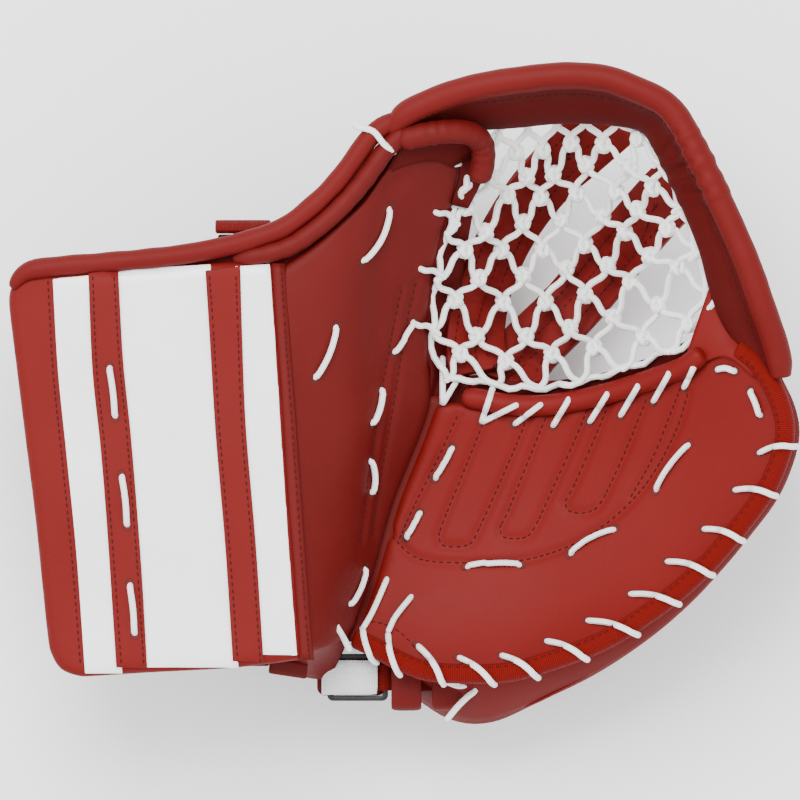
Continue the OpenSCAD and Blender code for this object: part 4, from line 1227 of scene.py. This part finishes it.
heel_runs = [[(-6, -90), (-13, -106), (-17.5, -114)], [(-18.5, -115), (-17, -122), (-14, -130),
                                                       (-11.5, -132)],
             [(6, -99), (-2, -109), (-5.5, -116)], [(-6, -117), (-5, -126), (-2, -135), (0, -138)],
             [(-31, -114), (-28, -119), (-25, -125)]]
heel_lines = []
for points in heel_runs:
    plan = smooth_line(flat(points), 0.002)
    run = []
    for k, at in enumerate(plan):
        s = k / (len(plan) - 1)
        levels = []
        for tree in (palm_top, tape_top, thumb_top):
            hit, _ = below(tree, at)
            if hit:
                levels.append(hit.z)
        z = max(levels) + lace_radius - 0.004 * max(0, 1 - s / 0.12) if levels else run[-1].z - 0.0016
        run.append(Vector((at.x, at.y, z)))
    heel_lines.append(run)
fix(lace("heel_lacing", heel_lines, "heel_laces"), "both")

# ---- heel straps ----
# A strap of webbing runs through two leather loops to a square ring. A white woven tab
# is folded round the ring's other bar and lies over it; its free end peels up.


def twilled(finish, scale, dark, light):
    """A cloth woven on the slant."""
    x, y = finish.axes(finish.place())
    twill = ((x + y) * scale).wave() * ((x - y) * scale).wave()
    finish.feed("Base Color", finish.mix(twill * 0.5 + 0.5, dark, light))
    finish.bump(twill, 0.0003, 0.8)
    return finish


webbing = twilled(Finish("webbing", 0.75, Specular_IOR_Level=0.12), 4500, paint(70, 3, 2), paint(112, 8, 4))
tab_white = twilled(Finish("tab_white", 0.8, Sheen_Weight=0.3), 3800, paint(205, 206, 206),
                    paint(236, 236, 236))
gloss_black = Finish("gloss_black", 0.3, Specular_IOR_Level=0.25)
gloss_black.feed("Base Color", gloss_black.mix(gloss_black.noise(200), (0.008, 0.008, 0.009, 1),
                                               (0.016, 0.016, 0.018, 1)))

for node, name, material, slot_name, body, crease in (
        ("strap_loop_left", "loop_left", thumb_leather, "thumb_leather", "palm", 0.3),
        ("strap_loop_right", "loop_right", thumb_leather, "thumb_leather", "palm", 0.3),
        ("wrist_strap", "wrist_band", elastic.material, "elastic", "thumb", 0.7),
        ("strap_keeper", "band_keeper", webbing.material, "webbing", "thumb", 0.7),
        ("heel_strap", "heel_end", thumb_leather, "thumb_leather", "thumb", 0.4),
        ("wrist_flap", "wrist_closure", webbing.material, "webbing", "flap", 0.7)):
    piece = over(node, name, material, 2, crease)
    if name.startswith("loop"):
        place, _ = arrays(piece)
        centre = place.mean(axis=0)
        place[:, 0] = centre[0] + (place[:, 0] - centre[0]) * 1.5
        low = place[:, 1] < centre[1]
        place[low, 1] = centre[1] + (place[low, 1] - centre[1]) * 1.75
        place[:, 2] = centre[2] + (place[:, 2] - centre[2]) * 1.35
        put(piece, place)
    fix(piece, body)


fix(web("heel_skirt", space([(-50, -122, 119), (-41, -121, 110), (-33, -118, 94), (-25, -115, 78)]),
        space([(-57, -129, 66), (-50, -134.5, 63), (-42, -136.5, 62), (-35, -137, 62)]), 0.0, thumb_leather,
        0.002), "thumb")


def eased(node, name, material, body, width=0.0006):
    """A cut strap with softened edges, over a CAD node of the right shape."""
    piece = over(node, name, material, 0)
    settle(piece, "BEVEL", width=width, segments=3, limit_method="ANGLE", angle_limit=radians(35))
    bpy.ops.object.select_all(action="DESELECT")
    bpy.context.view_layer.objects.active = piece
    piece.select_set(True)
    bpy.ops.object.shade_smooth_by_angle(angle=radians(35))
    piece.select_set(False)
    fix(piece, body)


white_tab = over("heel_tab", "white_tab", tab_white.material, 2, 0.8)
place, _ = arrays(white_tab)
tab_low, tab_high = place.min(axis=0), place.max(axis=0)
share = (place - tab_low) / (tab_high - tab_low)
dome = np.sin(pi * np.clip(share[:, 0], 0, 1)) * np.sin(pi * np.clip(share[:, 1], 0, 1)) ** 0.5
place[:, 2] += np.where(share[:, 2] > 0.5, 0.0016, 0) * dome
put(white_tab, place)
fix(white_tab, "tab")
eased("loop_webbing", "heel_webbing", webbing.material, "palm")
eased("buckle_base", "buckle_pad", thumb_leather, "palm")
eased("heel_ring", "square_ring", gloss_black.material, "palm", 0.0005)

knot_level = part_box("tie_lace")[0][2] + 0.003
tie = [(20, -139, 0), (25, -141.5, 2), (31, -141, 3), (36, -142, 2.6), (37, -145.5, 1.5), (33, -149, 1.5),
       (28, -154, 1.5), (23.5, -159.5, 2)]
loop_back = [(24, -142, 0.5), (30, -143.5, 2), (37, -141, 1), (38, -138, -2), (33, -138, -3)]
tie_runs = [smooth_line([Vector((x * MM, y * MM, knot_level + z * MM)) for x, y, z in line], 0.0018)
            for line in (tie, loop_back)]
fix(lace("tie_knot", tie_runs, "tie_lace"), "palm")

bpy.context.view_layer.update()
